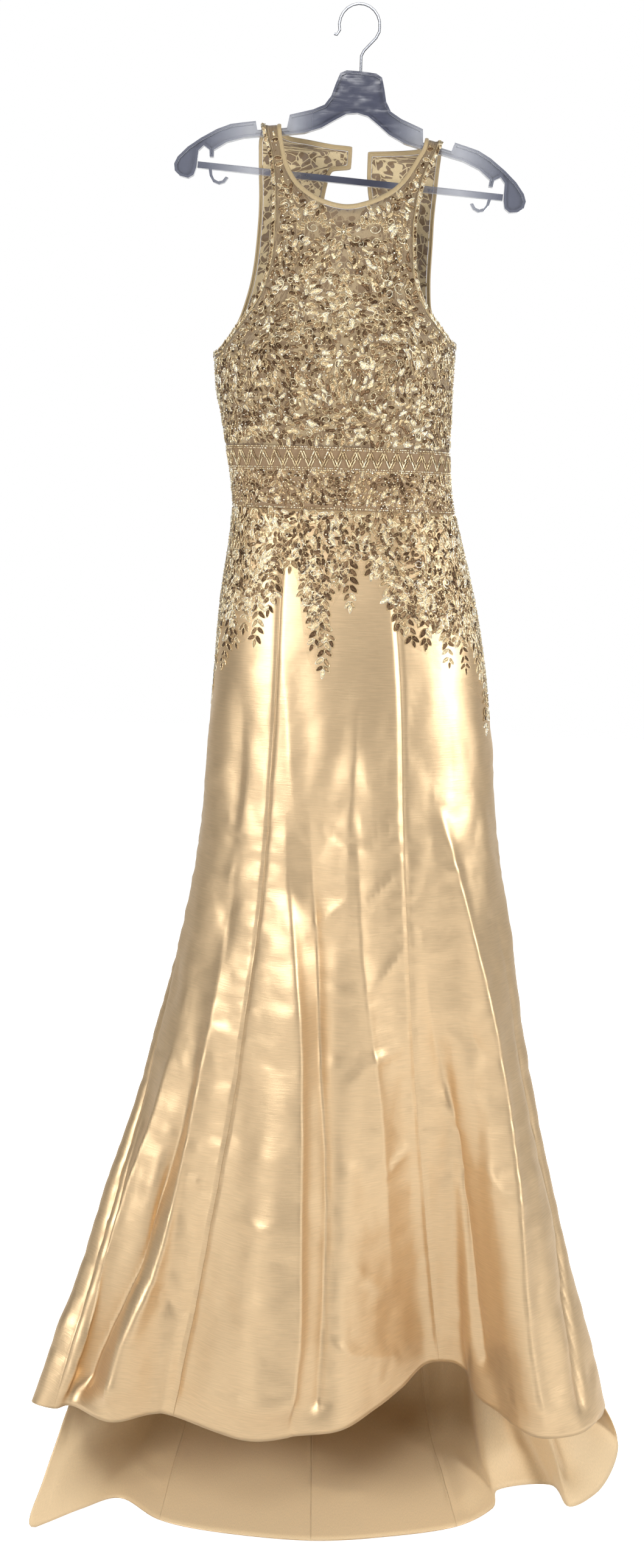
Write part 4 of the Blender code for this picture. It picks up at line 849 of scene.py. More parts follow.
class Beadwork:
    """Many small shapes laid on the gown, gathered into one piece."""

    def __init__(self, seed, ground=ON_NET, tints=0.30):
        self.random, self.ground, self.tints, self.laid = random.Random(seed), ground, tints, {}

    def lay(self, shape, angle, z, turn, long, wide, high, tint=None, lift=0.0):
        if tint is None:
            drift = 0.12 * noise.noise(Vector((angle * 0.07, z * 22.0, 2.5)))
            tint = self.random.random() ** 1.7 * self.tints + drift
        self.laid.setdefault(shape, []).append((angle, z, turn, long, wide, high, tint, lift))

    def spray(self, start, end, bow, leaf=0.0135, gap=0.0098):
        """A stem with leaves on both its sides and one at its tip."""
        a, b = np.array(start, float), np.array(end, float)
        metres = np.array([self.per_degree(a[0], (a[1] + b[1]) / 2), 1.0])
        run = (b - a) * metres
        long = float(np.linalg.norm(run))
        side = np.array([-run[1], run[0]]) / long
        count = max(2, int(long / gap))
        for k in range(count + 1):
            t = k / count
            way = run / long + side * bow * math.pi * math.cos(math.pi * t)
            turn = math.degrees(math.atan2(way[1], way[0]))
            spot = a + (run * t + side * bow * long * math.sin(math.pi * t)) / metres
            size = leaf * (1.1 - 0.35 * t) * self.random.uniform(0.85, 1.15)
            if k == count:
                self.lay("leaf", *spot, turn, size, size * 0.45, PETAL_HIGH)
                break
            for hand in (-1, 1):
                lean = math.radians(turn + hand * self.random.uniform(32, 58))
                out = np.array([math.cos(lean), math.sin(lean)]) * size * 0.55 / metres
                self.lay("leaf", *(spot + out), math.degrees(lean), size, size * 0.48, LEAF_HIGH)
            if k % 2:
                self.lay("bead", *spot, 0, 0.0022, 0.0022, 0.0022, None, 0.0008)

    def per_degree(self, angle, z):
        return float(np.linalg.norm(ring(angle + 1.0, z) - ring(angle - 1.0, z))) / 2

    def spots(self, first, last, top, bottom, step):
        """Jittered places, evenly far apart on the cloth, with how far each is round it."""
        row, z = 0, top - step * 0.5
        while z > bottom:
            angle = np.linspace(first, last, 181)
            length = run_along(ring(angle, z))
            at = step * (0.5 + 0.5 * (row % 2))
            while at < length[-1] - step * 0.3:
                along = at + self.random.uniform(-0.3, 0.3) * step
                height = z + self.random.uniform(-0.3, 0.3) * step
                yield float(np.interp(along, length, angle)), height
                at += step
            row += 1
            z -= step * 0.87

    def flow(self, angle, z):
        """The way the petals lie at a place, mirrored about the centre."""
        off = angle - float(centre_front(z)) if angle < 360 else 450.0 - angle
        hand = 1 if off >= 0 else -1
        turn = 95 + 330 * noise.noise(Vector((abs(off) * 0.045, z * 19.0, 4.2)))
        return 90 + hand * (turn - 90)

    def make(self, name, material=None, slot="beaded_lace"):
        """One piece of all that was laid."""
        parts, count = [], 0
        for shape, laid in self.laid.items():
            points, faces, tints = SHAPES[shape]()
            angle, z, turn, long, wide, high, tint, lift = np.array(laid, float).T
            spot, across, up, out = frames(angle, z)
            c, s = np.cos(np.radians(turn))[:, None], np.sin(np.radians(turn))[:, None]
            along, side = across * c + up * s, up * c - across * s
            size = np.stack([long, wide, high], 1)[:, None, :] * points[None]
            where = (spot + out * (lift + self.ground)[:, None])[:, None, :]
            for axis, way in enumerate((along, side, out)):
                where = where + size[..., axis:axis + 1] * way[:, None, :]
            n = len(points)
            each = (np.arange(len(laid)) * n)[:, None, None]
            corners = (faces[None] + each).reshape(-1, 3) + count
            colour = np.clip(tints[None] + tint[:, None], 0, 1).reshape(-1)
            parts.append((where.reshape(-1, 3), corners, colour))
            count += len(laid) * n
        points, faces, tints = (np.concatenate(values) for values in zip(*parts))
        mesh = bpy.data.meshes.new(name)
        mesh.from_pydata(points, [], faces)
        mesh.shade_smooth()
        held = mesh.attributes.new("tint", "FLOAT", "POINT")
        held.data.foreach_set("value", tints)
        mesh.materials.append(material or need("Beadwork", bead_material))
        thing = linked(name, mesh)
        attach(thing, GOWN)


class Outline:
    """A piece's outline in lengths round the bodice and heights, and what lies inside it."""

    def __init__(self, piece):
        self.angles, self.lengths = girth_table()
        self.inner, self.outer = piece.edges["inner_net"], piece.edges["outer_net"]
        self.line = np.concatenate([self.inner, self.outer[::-1]])

    def inside(self, angle, z):
        x = float(np.interp(angle, self.angles, self.lengths))
        a, b = self.line, np.roll(self.line, -1, axis=0)
        crossed = (a[:, 1] > z) != (b[:, 1] > z)
        with np.errstate(divide="ignore", invalid="ignore"):
            at = a[:, 0] + (z - a[:, 1]) / (b[:, 1] - a[:, 1]) * (b[:, 0] - a[:, 0])
        return bool((crossed & (x < at)).sum() % 2)

    def far(self, angle, z, line):
        """How far a place is from an edge."""
        p = np.array([float(np.interp(angle, self.angles, self.lengths)), z])
        a, b = line[:-1], line[1:]
        run = b - a
        share = np.clip(((p - a) * run).sum(1) / np.maximum((run**2).sum(1), 1e-12), 0, 1)
        return float(np.linalg.norm(a + run * share[:, None] - p, axis=1).min())


# Open windows of plain net on the chest: ring angle, height and radius in metres.
WINDOWS = ((267.8, -0.2475, 0.0105), (262.5, -0.2520, 0.0060), (273.0, -0.2520, 0.0060),
           (269.9, -0.3140, 0.0100), (268.0, -0.3010, 0.0060), (273.0, -0.4020, 0.0060),
           (239.9, -0.3500, 0.0070), (300.5, -0.3460, 0.0070), (262.0, -0.3420, 0.0060),
           (278.0, -0.3420, 0.0060), (226.0, -0.4000, 0.0070), (317.0, -0.3950, 0.0070))


def chest_medallion(beads):
    """The flower below the neck, the paired paisleys and the spine of petals down the centre."""
    centre, z = 268.3, -0.2735
    for k in range(6):
        lean = math.radians(90 + 60 * k)
        step = np.array([math.cos(lean) * 0.0062 / CHEST_DEGREE, math.sin(lean) * 0.0062])
        beads.lay("leaf", centre + step[0], z + step[1], math.degrees(lean),
                  0.0088, 0.0046, 0.0020, 0.30, 0.0004)
    beads.lay("bead", centre, z, 0, 0.0034, 0.0034, 0.0030, 0.6, 0.001)
    for hand in (-1, 1):
        shape = "curl_right" if hand < 0 else "curl_left"
        for off, height, size, turn in ((15.8, -0.2690, 0.0150, 20), (9.0, -0.2880, 0.0090, 70),
                                        (30.6, -0.3370, 0.0160, 300), (24.5, -0.3330, 0.0130, 200),
                                        (11.0, -0.3480, 0.0100, 40), (20.0, -0.3720, 0.0120, 320)):
            beads.lay(shape, centre + hand * off, height, turn if hand > 0 else 180 - turn,
                      size, size * 0.8, 0.0017, 0.35, 0.0006)
        for k in range(11):
            lean = 180 * k / 10 - 10
            out = math.radians(lean)
            spot = (centre + hand * (15.8 + math.cos(out) * 0.0118 / CHEST_DEGREE),
                    -0.2690 + math.sin(out) * 0.0105)
            beads.lay("leaf", *spot, lean if hand > 0 else 180 - lean, 0.0070, 0.0034, 0.0016, 0.3)
        for k in range(15):
            height = -0.292 - 0.0072 * k
            beads.lay("leaf", centre_front(height) + hand * (2.0 + 1.2 * math.sin(k * 0.9)), height,
                      -90 + hand * 38, 0.0088, 0.0042, 0.0018, 0.28 + 0.1 * (k % 2), 0.0003)
    return [(centre, z, 0.0115), *((centre + side, -0.2690, 0.0145) for side in (-15.8, 15.8))]


def cover_bodice(beads, piece, first, last, top, bottom, step, front, rich=1.0):
    """Petals, curls and beads all over one piece of the bodice, clear of its edges and windows."""
    outline = Outline(piece)
    kept_clear = []
    if front:
        kept_clear = [*WINDOWS, *chest_medallion(beads), *((a, h, DART_CLEAR) for a, h in DART)]

    def clear(angle, z, margin):
        if not outline.inside(angle, z) or outline.far(angle, z, outline.inner) < margin:
            return False
        lace = LACE_EDGE * float(np.interp(z, (-0.410, -0.350), (0.0, 1.0))) if front else 0.0
        if z > -0.42 and outline.far(angle, z, outline.outer) < margin + lace:
            return False
        return all(math.hypot((angle - a) * PER_DEGREE, z - h) > r for a, h, r in kept_clear)

    for angle, z in beads.spots(first, last, top, bottom, step * 3.2):
        if clear(angle, z, 0.007):
            size = beads.random.uniform(0.008, 0.013)
            hand = angle > float(centre_front(z))
            beads.lay("curl_right" if hand else "curl_left", angle, z,
                      beads.random.uniform(0, 360), size,
                      size * 0.85, 0.0018, beads.random.uniform(0.05, 0.42), 0.0007)
    for angle, z in beads.spots(first, last, top, bottom, step):
        if clear(angle, z, 0.0035):
            long = beads.random.uniform(0.0070, 0.0112)
            turn = beads.flow(angle, z) + beads.random.uniform(-38, 38)
            turn += 180 * (beads.random.random() < 0.3)
            shape = "leaf" if beads.random.random() < 0.66 * rich else "petal"
            beads.lay(shape, angle, z, turn, long, long * beads.random.uniform(0.40, 0.56), 0.0017)
    for angle, z in beads.spots(first, last, top, bottom, step * 0.82):
        if clear(angle, z, 0.0025) and beads.random.random() < 0.75 * rich:
            size = beads.random.uniform(0.0015, 0.0024)
            beads.lay("bead", angle, z, 0, size, size, size,
                      beads.random.uniform(0.0, 0.75), 0.0007)


def cover_midriff(beads, first, last):
    """The zigzag of bugles between its cords, the lace below and the beads of the waist seam."""
    if first < 450 < last:
        cover_midriff(beads, first, 450 - ZIP_CLEAR)
        cover_midriff(beads, 450 + ZIP_CLEAR, last)
        return
    upper, lower = BANDS_Z
    for z in (upper + 0.0016, upper - 0.0008, lower + 0.0008, lower - 0.0016, WAIST_Z + 0.002):
        for angle, _ in beads.spots(first, last, z + 0.001, z - 0.0005, 0.0026):
            beads.lay("bead", angle, z, 0, 0.0021, 0.0018, 0.0018,
                      beads.random.uniform(0.1, 0.7), 0.0005)
    angle = np.linspace(first, last, 361)
    middle = (upper + lower) / 2
    length = run_along(ring(angle, middle))
    tall = upper - lower - 0.005
    lean = math.degrees(math.atan2(tall, ZIGZAG / 2))
    for k in range(int(length[-1] / (ZIGZAG / 2))):
        at = float(np.interp((k + 0.5) * ZIGZAG / 2, length, angle))
        per = beads.per_degree(at, middle)
        for off, tint in ((-0.0016, 0.22), (0.0016, 0.05)):
            for part in (-0.25, 0.25):
                turn = lean if k % 2 else -lean
                step = math.cos(math.radians(turn)) * tall * part / math.sin(math.radians(lean))
                beads.lay("bugle", at + (off + step) / per,
                          middle + math.sin(math.radians(turn)) * tall * part
                          / math.sin(math.radians(lean)),
                          turn, tall * 0.5 / math.sin(math.radians(lean)), 0.0016, 0.0016,
                          tint + beads.random.uniform(-0.15, 0.25), 0.0007)
        if k % 2:
            beads.lay("bead", at, middle + 0.004, 0, 0.0026, 0.0026, 0.0024, 0.1, 0.0008)
    strip, step = (first, last, lower - 0.002, WAIST_Z + 0.003), 0.0060
    for angle, z in beads.spots(*strip, step):
        long = beads.random.uniform(0.0062, 0.0098)
        turn = beads.flow(angle, z) + beads.random.uniform(-40, 40)
        shape = "leaf" if beads.random.random() < 0.66 else "petal"
        beads.lay(shape, angle, z, turn, long, long * beads.random.uniform(0.42, 0.56), 0.0017)
    for angle, z in beads.spots(*strip, step * 0.8):
        if beads.random.random() < 0.7:
            beads.lay("bead", angle, z, 0, 0.0020, 0.0020, 0.0019,
                      beads.random.uniform(0.0, 0.8), 0.0007)


# Sprays of the hip lace: the ring angle and height where each starts, those where its tip hangs,
# and its bow.
HIP_SPRAYS = (
    (186.0, -0.700, 183.5, -0.8500, 0.05), (192.0, -0.680, 189.0, -0.8050, -0.05),
    (203.0, -0.700, 200.5, -0.8020, 0.08), (211.0, -0.690, 213.5, -0.7740, -0.10),
    (222.0, -0.690, 225.5, -0.7690, 0.08), (230.0, -0.672, 232.2, -0.7310, 0.06),
    (228.0, -0.700, 218.0, -0.7550, -0.10), (238.0, -0.652, 236.2, -0.7160, -0.08),
    (243.5, -0.640, 242.4, -0.6770, 0.0), (250.5, -0.660, 249.4, -0.7100, 0.06),
    (255.5, -0.660, 254.5, -0.7420, -0.04), (257.5, -0.680, 258.4, -0.8020, 0.03),
    (259.0, -0.700, 262.2, -0.7640, -0.10), (256.5, -0.715, 253.6, -0.7700, 0.08),
    (264.5, -0.655, 266.0, -0.6950, 0.05), (270.5, -0.652, 270.5, -0.7220, 0.0),
    (280.5, -0.640, 280.7, -0.6820, 0.05), (286.0, -0.655, 287.5, -0.7160, 0.06),
    (291.5, -0.680, 292.7, -0.7470, -0.06), (300.0, -0.690, 303.8, -0.7650, 0.08),
    (297.0, -0.700, 298.0, -0.7620, -0.08), (310.0, -0.700, 315.8, -0.7880, 0.06),
    (318.0, -0.700, 327.0, -0.7960, 0.05), (330.0, -0.710, 342.0, -0.8100, 0.05),
    (350.0, -0.720, 343.0, -0.8750, 0.04), (357.0, -0.700, 353.0, -0.8600, 0.04),
)


def edge_of(table, angle):
    """Height of an edge given as a table of ring angles and heights."""
    return steady(*zip(*table), angle)


def cover_hips(beads, first, last, step, sprays):
    """The lace motifs laid on the satin, dense at the waist and hanging in sprays."""
    def ground(angle, z):
        edge = float(edge_of(HIP_LACE, angle))
        if abs(angle - 450) < ZIP_CLEAR and z > ZIP_END - 0.004:
            return False
        share = (WAIST_Z - z) / max(WAIST_Z - edge, 0.01)
        ragged = 0.72 + 0.16 * noise.noise(Vector((angle * 0.30, z * 30.0, 1.7)))
        return share < ragged

    span = first, last, WAIST_Z - 0.001, -0.90
    for angle, z in beads.spots(*span, step * 4.0):
        if ground(angle, z - 0.008):
            size = beads.random.uniform(0.010, 0.015)
            shape = "curl_right" if beads.random.random() < 0.5 else "curl_left"
            beads.lay(shape, angle, z, beads.random.uniform(0, 360), size, size * 0.85, 0.0017,
                      beads.random.uniform(0.1, 0.5), 0.0005)
    for angle, z in beads.spots(*span, step):
        if ground(angle, z):
            long = beads.random.uniform(0.0075, 0.0120)
            turn = beads.flow(angle, z) + beads.random.uniform(-40, 40)
            if beads.random.random() < 0.35:
                turn = -90 + beads.random.uniform(-50, 50)
            shape = "leaf" if beads.random.random() < 0.74 else "petal"
            beads.lay(shape, angle, z, turn, long,
                      long * beads.random.uniform(0.40, 0.54), LEAF_HIGH)
    for angle, z in beads.spots(*span, step * 0.85):
        if ground(angle, z) and beads.random.random() < 0.6:
            beads.lay("bead", angle, z, 0, 0.0021, 0.0021, 0.0020,
                      beads.random.uniform(0.0, 0.7), 0.0006)
    for a0, z0, a1, z1, bow in sprays:
        beads.spray((a0, z0), (a1, z1), bow)


# ---------------------------------------------------------------- creases of the satin
# Each crease: how far it stands out, how wide it is, and places along it as (place, down).
CREASES = (
    (0.0060, (0.0200, 0.0260),
     ((4.05, 0.35), (4.35, 0.50), (4.75, 0.69), (5.1, 0.88), (5.3, 1.03))),
    (0.0090, (0.0380, 0.0260), ((7.9, 0.46), (7.75, 0.77), (7.55, 1.03), (7.4, 1.20))),
    (-0.0080, (0.0300, 0.0160), ((3.1, 0.48), (3.25, 0.79), (3.3, 1.04), (3.3, 1.2), (3.1, 1.36))),
    (-0.0201, 0.0172,
     ((3.05, 1.30), (2.7, 1.50), (2.25, 1.64), (1.9, 1.73), (1.25, 1.88), (1.1, 1.97))),
    (0.0146, 0.0149,
     ((3.2, 1.10), (3.25, 1.25), (3.1, 1.46), (2.75, 1.62), (2.45, 1.75), (2.0, 1.87),
      (1.9, 1.96))),
    (0.0128, 0.0126,
     ((2.25, 1.26), (1.7, 1.47), (1.25, 1.63), (1.0, 1.76), (0.45, 1.91), (0.35, 1.97))),
    (0.0073, 0.0184, ((3.4, 0.70), (3.3, 1.04), (3.15, 1.15))),
    (0.0180, (0.0500, 0.0100),
     ((4.7, 0.84), (5.0, 1.07), (5.35, 1.14), (5.7, 1.26), (5.85, 1.33), (5.95, 1.52),
      (5.95, 1.67), (6.0, 1.8), (5.85, 1.93))),
    (-0.0128, 0.0184,
     ((5.7, 0.79), (5.95, 1.03), (6.3, 1.18), (6.5, 1.38), (6.75, 1.59), (6.65, 1.79),
      (6.5, 1.95))),
    (0.0092, 0.0196,
     ((7.6, 0.77), (7.95, 1.03), (8.15, 1.23), (8.6, 1.44), (8.8, 1.67), (8.9, 1.88))),
    (-0.0128, 0.0196, ((11.8, 1.11), (12.55, 1.35), (13.8, 1.56), (14.2, 1.75), (14.45, 1.92))),
    (0.0155, 0.0172,
     ((13.6, 0.90), (13.85, 0.96), (15.0, 1.13), (16.15, 1.29), (17.0, 1.54), (16.8, 1.84),
      (16.9, 1.97))),
    (-0.0109, 0.0172,
     ((17.0, 1.00), (18.2, 1.26), (18.6, 1.47), (18.8, 1.67), (18.4, 1.81), (18.1, 1.96))),
    (0.0039, 0.0057, ((8.25, 1.02), (9.7, 0.98), (10.8, 0.94))),
    (0.0045, 0.0062, ((7.75, 1.13), (9.6, 1.08), (10.8, 1.06))),
    (0.0053, 0.0066, ((8.15, 1.27), (9.85, 1.22), (10.8, 1.205))),
    (0.0053, 0.0071, ((7.15, 1.43), (8.6, 1.38), (10.6, 1.37))),
    (0.0053, 0.0071, ((7.85, 1.61), (9.6, 1.57), (10.8, 1.56))),
    (0.0040, 0.0062, ((5.25, 1.19), (6.65, 1.14), (8.2, 1.08))),
    (-0.0037, 0.0057, ((5.75, 0.93), (7.25, 1.01), (8.85, 1.02))),
    (0.0037, 0.0043, ((12.75, 0.86), (14.4, 0.9), (16.15, 0.89))),
    (0.0040, 0.0057, ((3.2, 1.33), (3.7, 1.35))),
    (-0.0040, 0.0057, ((4.3, 1.37), (5.5, 1.39))),
    (0.0056, 0.0066, ((3.0, 1.59), (3.6, 1.61))),
    (0.0047, 0.0066, ((4.3, 1.64), (5.4, 1.66))),
    (0.0056, 0.0076, ((7.0, 1.7), (8.15, 1.78), (10.05, 1.85))),
    (0.0053, 0.0076, ((15.3, 1.55), (16.45, 1.6), (17.65, 1.63))),
    (0.0034, 0.0057, ((2.15, 0.97), (3.35, 1.01), (3.8, 1.02))),
    (-0.0056, 0.0076, ((2.1, 1.77), (3.55, 1.83))),
    (0.0053, 0.0076, ((6.35, 1.82), (7.3, 1.88), (8.75, 1.93))),
    (0.0037, 0.0066, ((13.0, 1.02), (14.2, 1.06), (15.2, 1.05))),
    (-0.0040, 0.0076, ((14.6, 1.30), (15.6, 1.36), (17.2, 1.38))),
    (0.0047, 0.0076, ((12.4, 1.44), (13.4, 1.50), (14.6, 1.52))),
    (0.0182, 0.0196, ((23.0, 1.20), (23.4, 1.50), (23.6, 1.80), (23.6, 1.96))),
    (-0.0146, 0.0230, ((25.2, 1.10), (25.6, 1.40), (25.8, 1.70), (25.6, 1.95))),
    (-0.0085, 0.0230, ((27.0, 1.05), (27.4, 1.40), (27.6, 1.75), (27.6, 1.97))),
    (-0.0057, 0.0184, ((29.55, 1.55), (29.55, 1.81), (29.4, 1.85), (29.3, 1.95))),
    (-0.0066, 0.0207, ((28.9, 1.30), (28.95, 1.78), (28.85, 1.88), (28.9, 1.97))),
    (-0.0066, 0.0230, ((31.2, 1.20), (31.3, 1.60), (31.35, 1.95))),
    (-0.0057, 0.0207, ((31.7, 1.25), (31.85, 1.65), (31.9, 1.96))),
    (-0.0050, 0.0230, ((33.0, 1.10), (33.3, 1.50), (33.4, 1.90))),
    (-0.0045, 0.0230, ((34.4, 1.10), (34.5, 1.50), (34.6, 1.85))),
    (0.0146, 0.0207, ((36.0, 1.15), (36.2, 1.55), (36.4, 1.90))),
    (0.0110, (0.0450, 0.0280), ((28.9, 0.80), (29.0, 1.20), (29.1, 1.60), (29.0, 1.97))),
    (0.0100, (0.0300, 0.0450), ((31.1, 0.90), (31.0, 1.25), (30.9, 1.60), (31.0, 1.97))),
    (-0.0035, 0.0160, ((27.6, 0.30), (29.0, 0.36), (30.4, 0.33))),
    (0.0030, 0.0140, ((29.6, 0.22), (30.9, 0.26), (32.2, 0.24))),
)
SEAM_DEPTH, SEAM_WIDE = 0.0020, 0.0040   # the groove along each seam of the skirt
PUCKER = 0.0004                          # small gathers beside the seams
LARGE = 0.0070                           # height of a large crease
DEEPER, SHALLOWER = 1.12, 0.72           # shares of its own height for a large and for a small one
CUSP = 0.0256, 0.16                      # how blunt a crease's ridge is: a square, and its root
# Crumples: how high, how often along x, y and z, where they start and whether they are ridged.
CRUMPLES = (
    (0.0034, (16, 16, 6.5), (0, 0, 0), False),
    (0.0016, (34, 34, 17), (7, 0, 3), False),
    (0.0020, (13, 13, 24), (0, 0, 9), True),
)
SLANTED = 0.0017                         # height of the ridged crumples that run slantwise


def crease_line(places, count=14):
    at = np.linspace(0, len(places) - 1, count)
    place, down = (steady(np.arange(len(places)), np.array(side), at) for side in zip(*places))
    return np.array([skirt(np.array([p]), np.array([d]))[0, 0] for p, d in zip(place, down)])


def creased(points, normals, place, down):
    """The skirt's points with its creases, crumples, seam grooves and puckers."""
    flat = points.reshape(-1, 3)
    rise = np.zeros(len(flat))
    low, high = flat.min(0) - 0.06, flat.max(0) + 0.06
    for height, wide, places in CREASES:
        line = crease_line(places)
        if (line.max(0) < low).any() or (line.min(0) > high).any():
            continue
        if isinstance(wide, tuple):
            middle = np.interp(down, *zip(*((d, p) for p, d in places)))
            wide = np.where(place[:, None] > middle[None, :], wide[1], wide[0]).reshape(-1)
        near, where = np.full(len(flat), 1e9), np.zeros(len(flat))
        for k, (start, run) in enumerate(zip(line[:-1], np.diff(line, axis=0))):
            share = np.clip(((flat - start) @ run) / max(run @ run, 1e-12), 0, 1)
            far = np.linalg.norm(flat - start - share[:, None] * run, axis=1)
            where = np.where(far < near, (k + share) / (len(line) - 1), where)
            near = np.minimum(far, near)
        fade = np.clip(np.minimum(where * 2.2, (1 - where) * 2.2 + (places[-1][1] > 1.88)), 0, 1)
        fade = fade * fade * (3 - 2 * fade)
        share = DEEPER if abs(height) > LARGE else SHALLOWER
        peak = np.exp(CUSP[1] - np.sqrt((near / wide * 1.2) ** 2 + CUSP[0]))
        rise += share * height * fade * peak
    rise = rise.reshape(points.shape[:2])
    crumple = np.zeros_like(rise)
    for i in range(points.shape[0]):
        for j in range(points.shape[1]):
            x, y, z = points[i, j]
            for high, (a, b, c), (d, e, f), ridged in CRUMPLES:
                value = noise.noise(Vector((x * a + d, y * b + e, z * c + f)))
                crumple[i, j] += (abs(value) if ridged else value) * high
            slant = Vector((x * 22 + z * 14, y * 22, z * 30 - x * 12))
            crumple[i, j] += abs(noise.noise(slant)) * SLANTED
    loose = np.clip((down - 0.25) * 1.6, 0.15, 1.0)[None, :]
    rise = rise + crumple * loose
    along = run_along(points)
    edge = np.minimum(along, along[-1] - along)
    tall = run_along(points[len(points) // 2])
    ripple = np.sin(tall * 2 * math.pi / 0.021 + 1.3 * np.sin(tall * 41))[None, :]
    rise -= SEAM_DEPTH * np.exp(-((edge / SEAM_WIDE) ** 2))
    rise += PUCKER * ripple * np.exp(-(((edge - 0.009) / 0.008) ** 2)) * loose
    hem = np.clip((2.0 - down) / 0.05, 0.25, 1.0)[None, :]
    moved = points + normals * (rise * hem * np.clip(down * 8, 0, 1)[None, :])[..., None]
    moved[..., 2] = np.maximum(moved[..., 2], FLOOR_Z)
    return moved


def colour_setting(name, description, default):
    return FloatVectorProperty(name=name, description=description, subtype="COLOR",
                               min=0.0, max=1.0, default=default)


class GownSettings(bpy.types.PropertyGroup):
    """Sizes and colours of the gown that a user may change."""
    satin_colour: colour_setting("Satin", "Colour of the skirt's satin", (0.69, 0.505, 0.300))
    satin_roughness: FloatProperty(
        name="Satin roughness", description="Lower is shinier", subtype="FACTOR", min=0.0, max=1.0,
        default=0.43)
    net_colour: colour_setting("Net", "Colour of the net under the beading", (0.21, 0.135, 0.07))
    lining_colour: colour_setting("Lining", "Colour of the bust lining", (0.60, 0.40, 0.235))
    binding_colour: colour_setting("Binding", "Colour of the edge bindings", (0.44, 0.33, 0.175))
    satin_wall: FloatProperty(
        name="Satin thickness", description="Wall of the skirt panels", subtype="DISTANCE",
        unit="LENGTH", min=0.0003, max=0.003, default=0.0014)


def settings():
    return bpy.context.scene.gown_settings


def need(name, make, *values):
    """The material of that name, made once."""
    return bpy.data.materials.get(name) or make(name, *values)


# ---------------------------------------------------------------- operators
# Gores of the skirt: name, first and last fold, whether they pass the table's end, columns of the
# mesh and the flat cut's width, length and area.
GORES = (
    ("skirt_centre_front", "left_princess", "right_princess", 0, 100, (0.43, 1.18), 0.284),
    ("skirt_side_front_left", "left_seam", "left_princess", 0, 68, (0.215, 1.21), 0.183),
    ("skirt_side_front_right", "right_princess", "right_seam", 0, 96, (0.42, 1.21), 0.283),
    ("skirt_side_back_right", "right_seam", "right_back_seam", 0, 62, (0.54, 1.56), 0.320),
    ("skirt_centre_back_right", "right_back_seam", "centre_back", 0, 32, (0.20, 1.63), 0.196),
    ("skirt_centre_back_left", "centre_back", "left_back_seam", 0, 32, (0.205, 1.63), 0.203),
    ("skirt_side_back_left", "left_back_seam", "left_seam", 1, 62, (0.53, 1.56), 0.313),
)
BESIDE_SEAM = 0.0, 0.02, 0.05, 0.12   # extra columns there, in folds from each seam
UPPER_ROWS, LOWER_ROWS = 42, 122      # rows of a gore above and below the knee ring
BODICE_ROWS, BODICE_COLUMNS = 4, 41   # lines to each row of a bodice table, and points on each
NET_WALL, BAND_WALL, LINING_WALL = 0.0007, 0.0011, 0.0009   # thickness of each cloth
BINDING_WALL, HIP_NET_WALL = 0.0020, 0.0004
HIP_NET_LIFT = 0.0011                 # from the CAD skirt to the hip net
HIP_NET_BELOW = 0.012                 # how far the edge of the net is inside the tips of its sprays
BINDING_ROLL = 0.0007                 # how far the middle of a binding stands up


def gore_grid(first, last, turns, columns):
    a, b = fold_row(first), fold_row(last) + turns * len(FOLDS)
    edge = np.array(BESIDE_SEAM)
    place = np.concatenate([a + edge, np.linspace(a, b, columns + 1)[1:-1], b - edge[::-1]])
    down = np.concatenate([np.linspace(0, 1, UPPER_ROWS)[:-1], 1 + np.linspace(0, 1, LOWER_ROWS)])
    return np.unique(np.round(place, 4)), down


class GOWN_OT_skirt(bpy.types.Operator):
    """Build the seven gores of the satin skirt, with their folds"""
    bl_idname = "gown.skirt"
    bl_label = "Skirt"

    def execute(self, context):
        s = settings()
        satin = need("Champagne satin", satin_material, tuple(s.satin_colour), s.satin_roughness)
        dull = need("Satin wrong side", plain_weave, (0.74, 0.55, 0.32), 0.6)
        for name, first, last, turns, columns, flat, area in GORES:
            place, down = gore_grid(first, last, turns, columns)
            points = creased(skirt(place, down), skirt_normals(place, down), place, down)
            cloth(name, "_satin", points, grid_normals(points), s.satin_wall, satin,
                  flat, area, wrong_side=dull)
        return {"FINISHED"}


def pieces_of_bodice():
    return (Bodice(FRONT_LEFT + FRONT_RIGHT, False), Bodice(BACK_LEFT, True),
            Bodice(BACK_RIGHT, True))


# The front, right back and left back of whatever goes round the body: their ring angles.
ROUND = (("front", 180.0, 360.0), ("back_right", 360.0, 450.0), ("back_left", 450.0, 540.0))


class GOWN_OT_bodice(bpy.types.Operator):
    """Build the net pieces of the bodice, front and two backs, with the midriff band"""
    bl_idname = "gown.bodice"
    bl_label = "Bodice"

    def execute(self, context):
        colour = tuple(settings().net_colour)
        net = need("Nude net", net_material, colour, 0.80, 0.30)
        back_net = need("Lace net", net_material, colour, 0.70, 0.85)
        for (name, material, flat, area), piece in zip((
            ("bodice_front", net, (0.38, 0.41), 0.0856),
            ("back_left", back_net, (0.24, 0.40), 0.0448),
            ("back_right", back_net, (0.22, 0.39), 0.0435),
        ), pieces_of_bodice()):
            t = np.linspace(0, piece.rows - 1, (piece.rows - 1) * BODICE_ROWS + 1)
            at = piece.grid("inner_net", "outer_net", t, np.linspace(0, 1, BODICE_COLUMNS))
            cloth(name, "_net", ring(*at), ring_normals(*at), NET_WALL, material,
                  flat, area)
        band = need("Backed net", plain_weave, shade(settings().net_colour, 1.15), 0.7)
        for name, first, last in ROUND:
            flat = (0.361 if name == "front" else 0.166, 0.077)
            angle = np.linspace(first, last, int((last - first) / 2) + 1)[:, None]
            at = angle, np.linspace(MIDRIFF_Z, WAIST_Z, 18)[None, :]
            cloth("midriff_" + name, "_band", ring(*at), ring_normals(*at), BAND_WALL, band,
                  flat, flat[0] * flat[1] * 0.99)
        return {"FINISHED"}


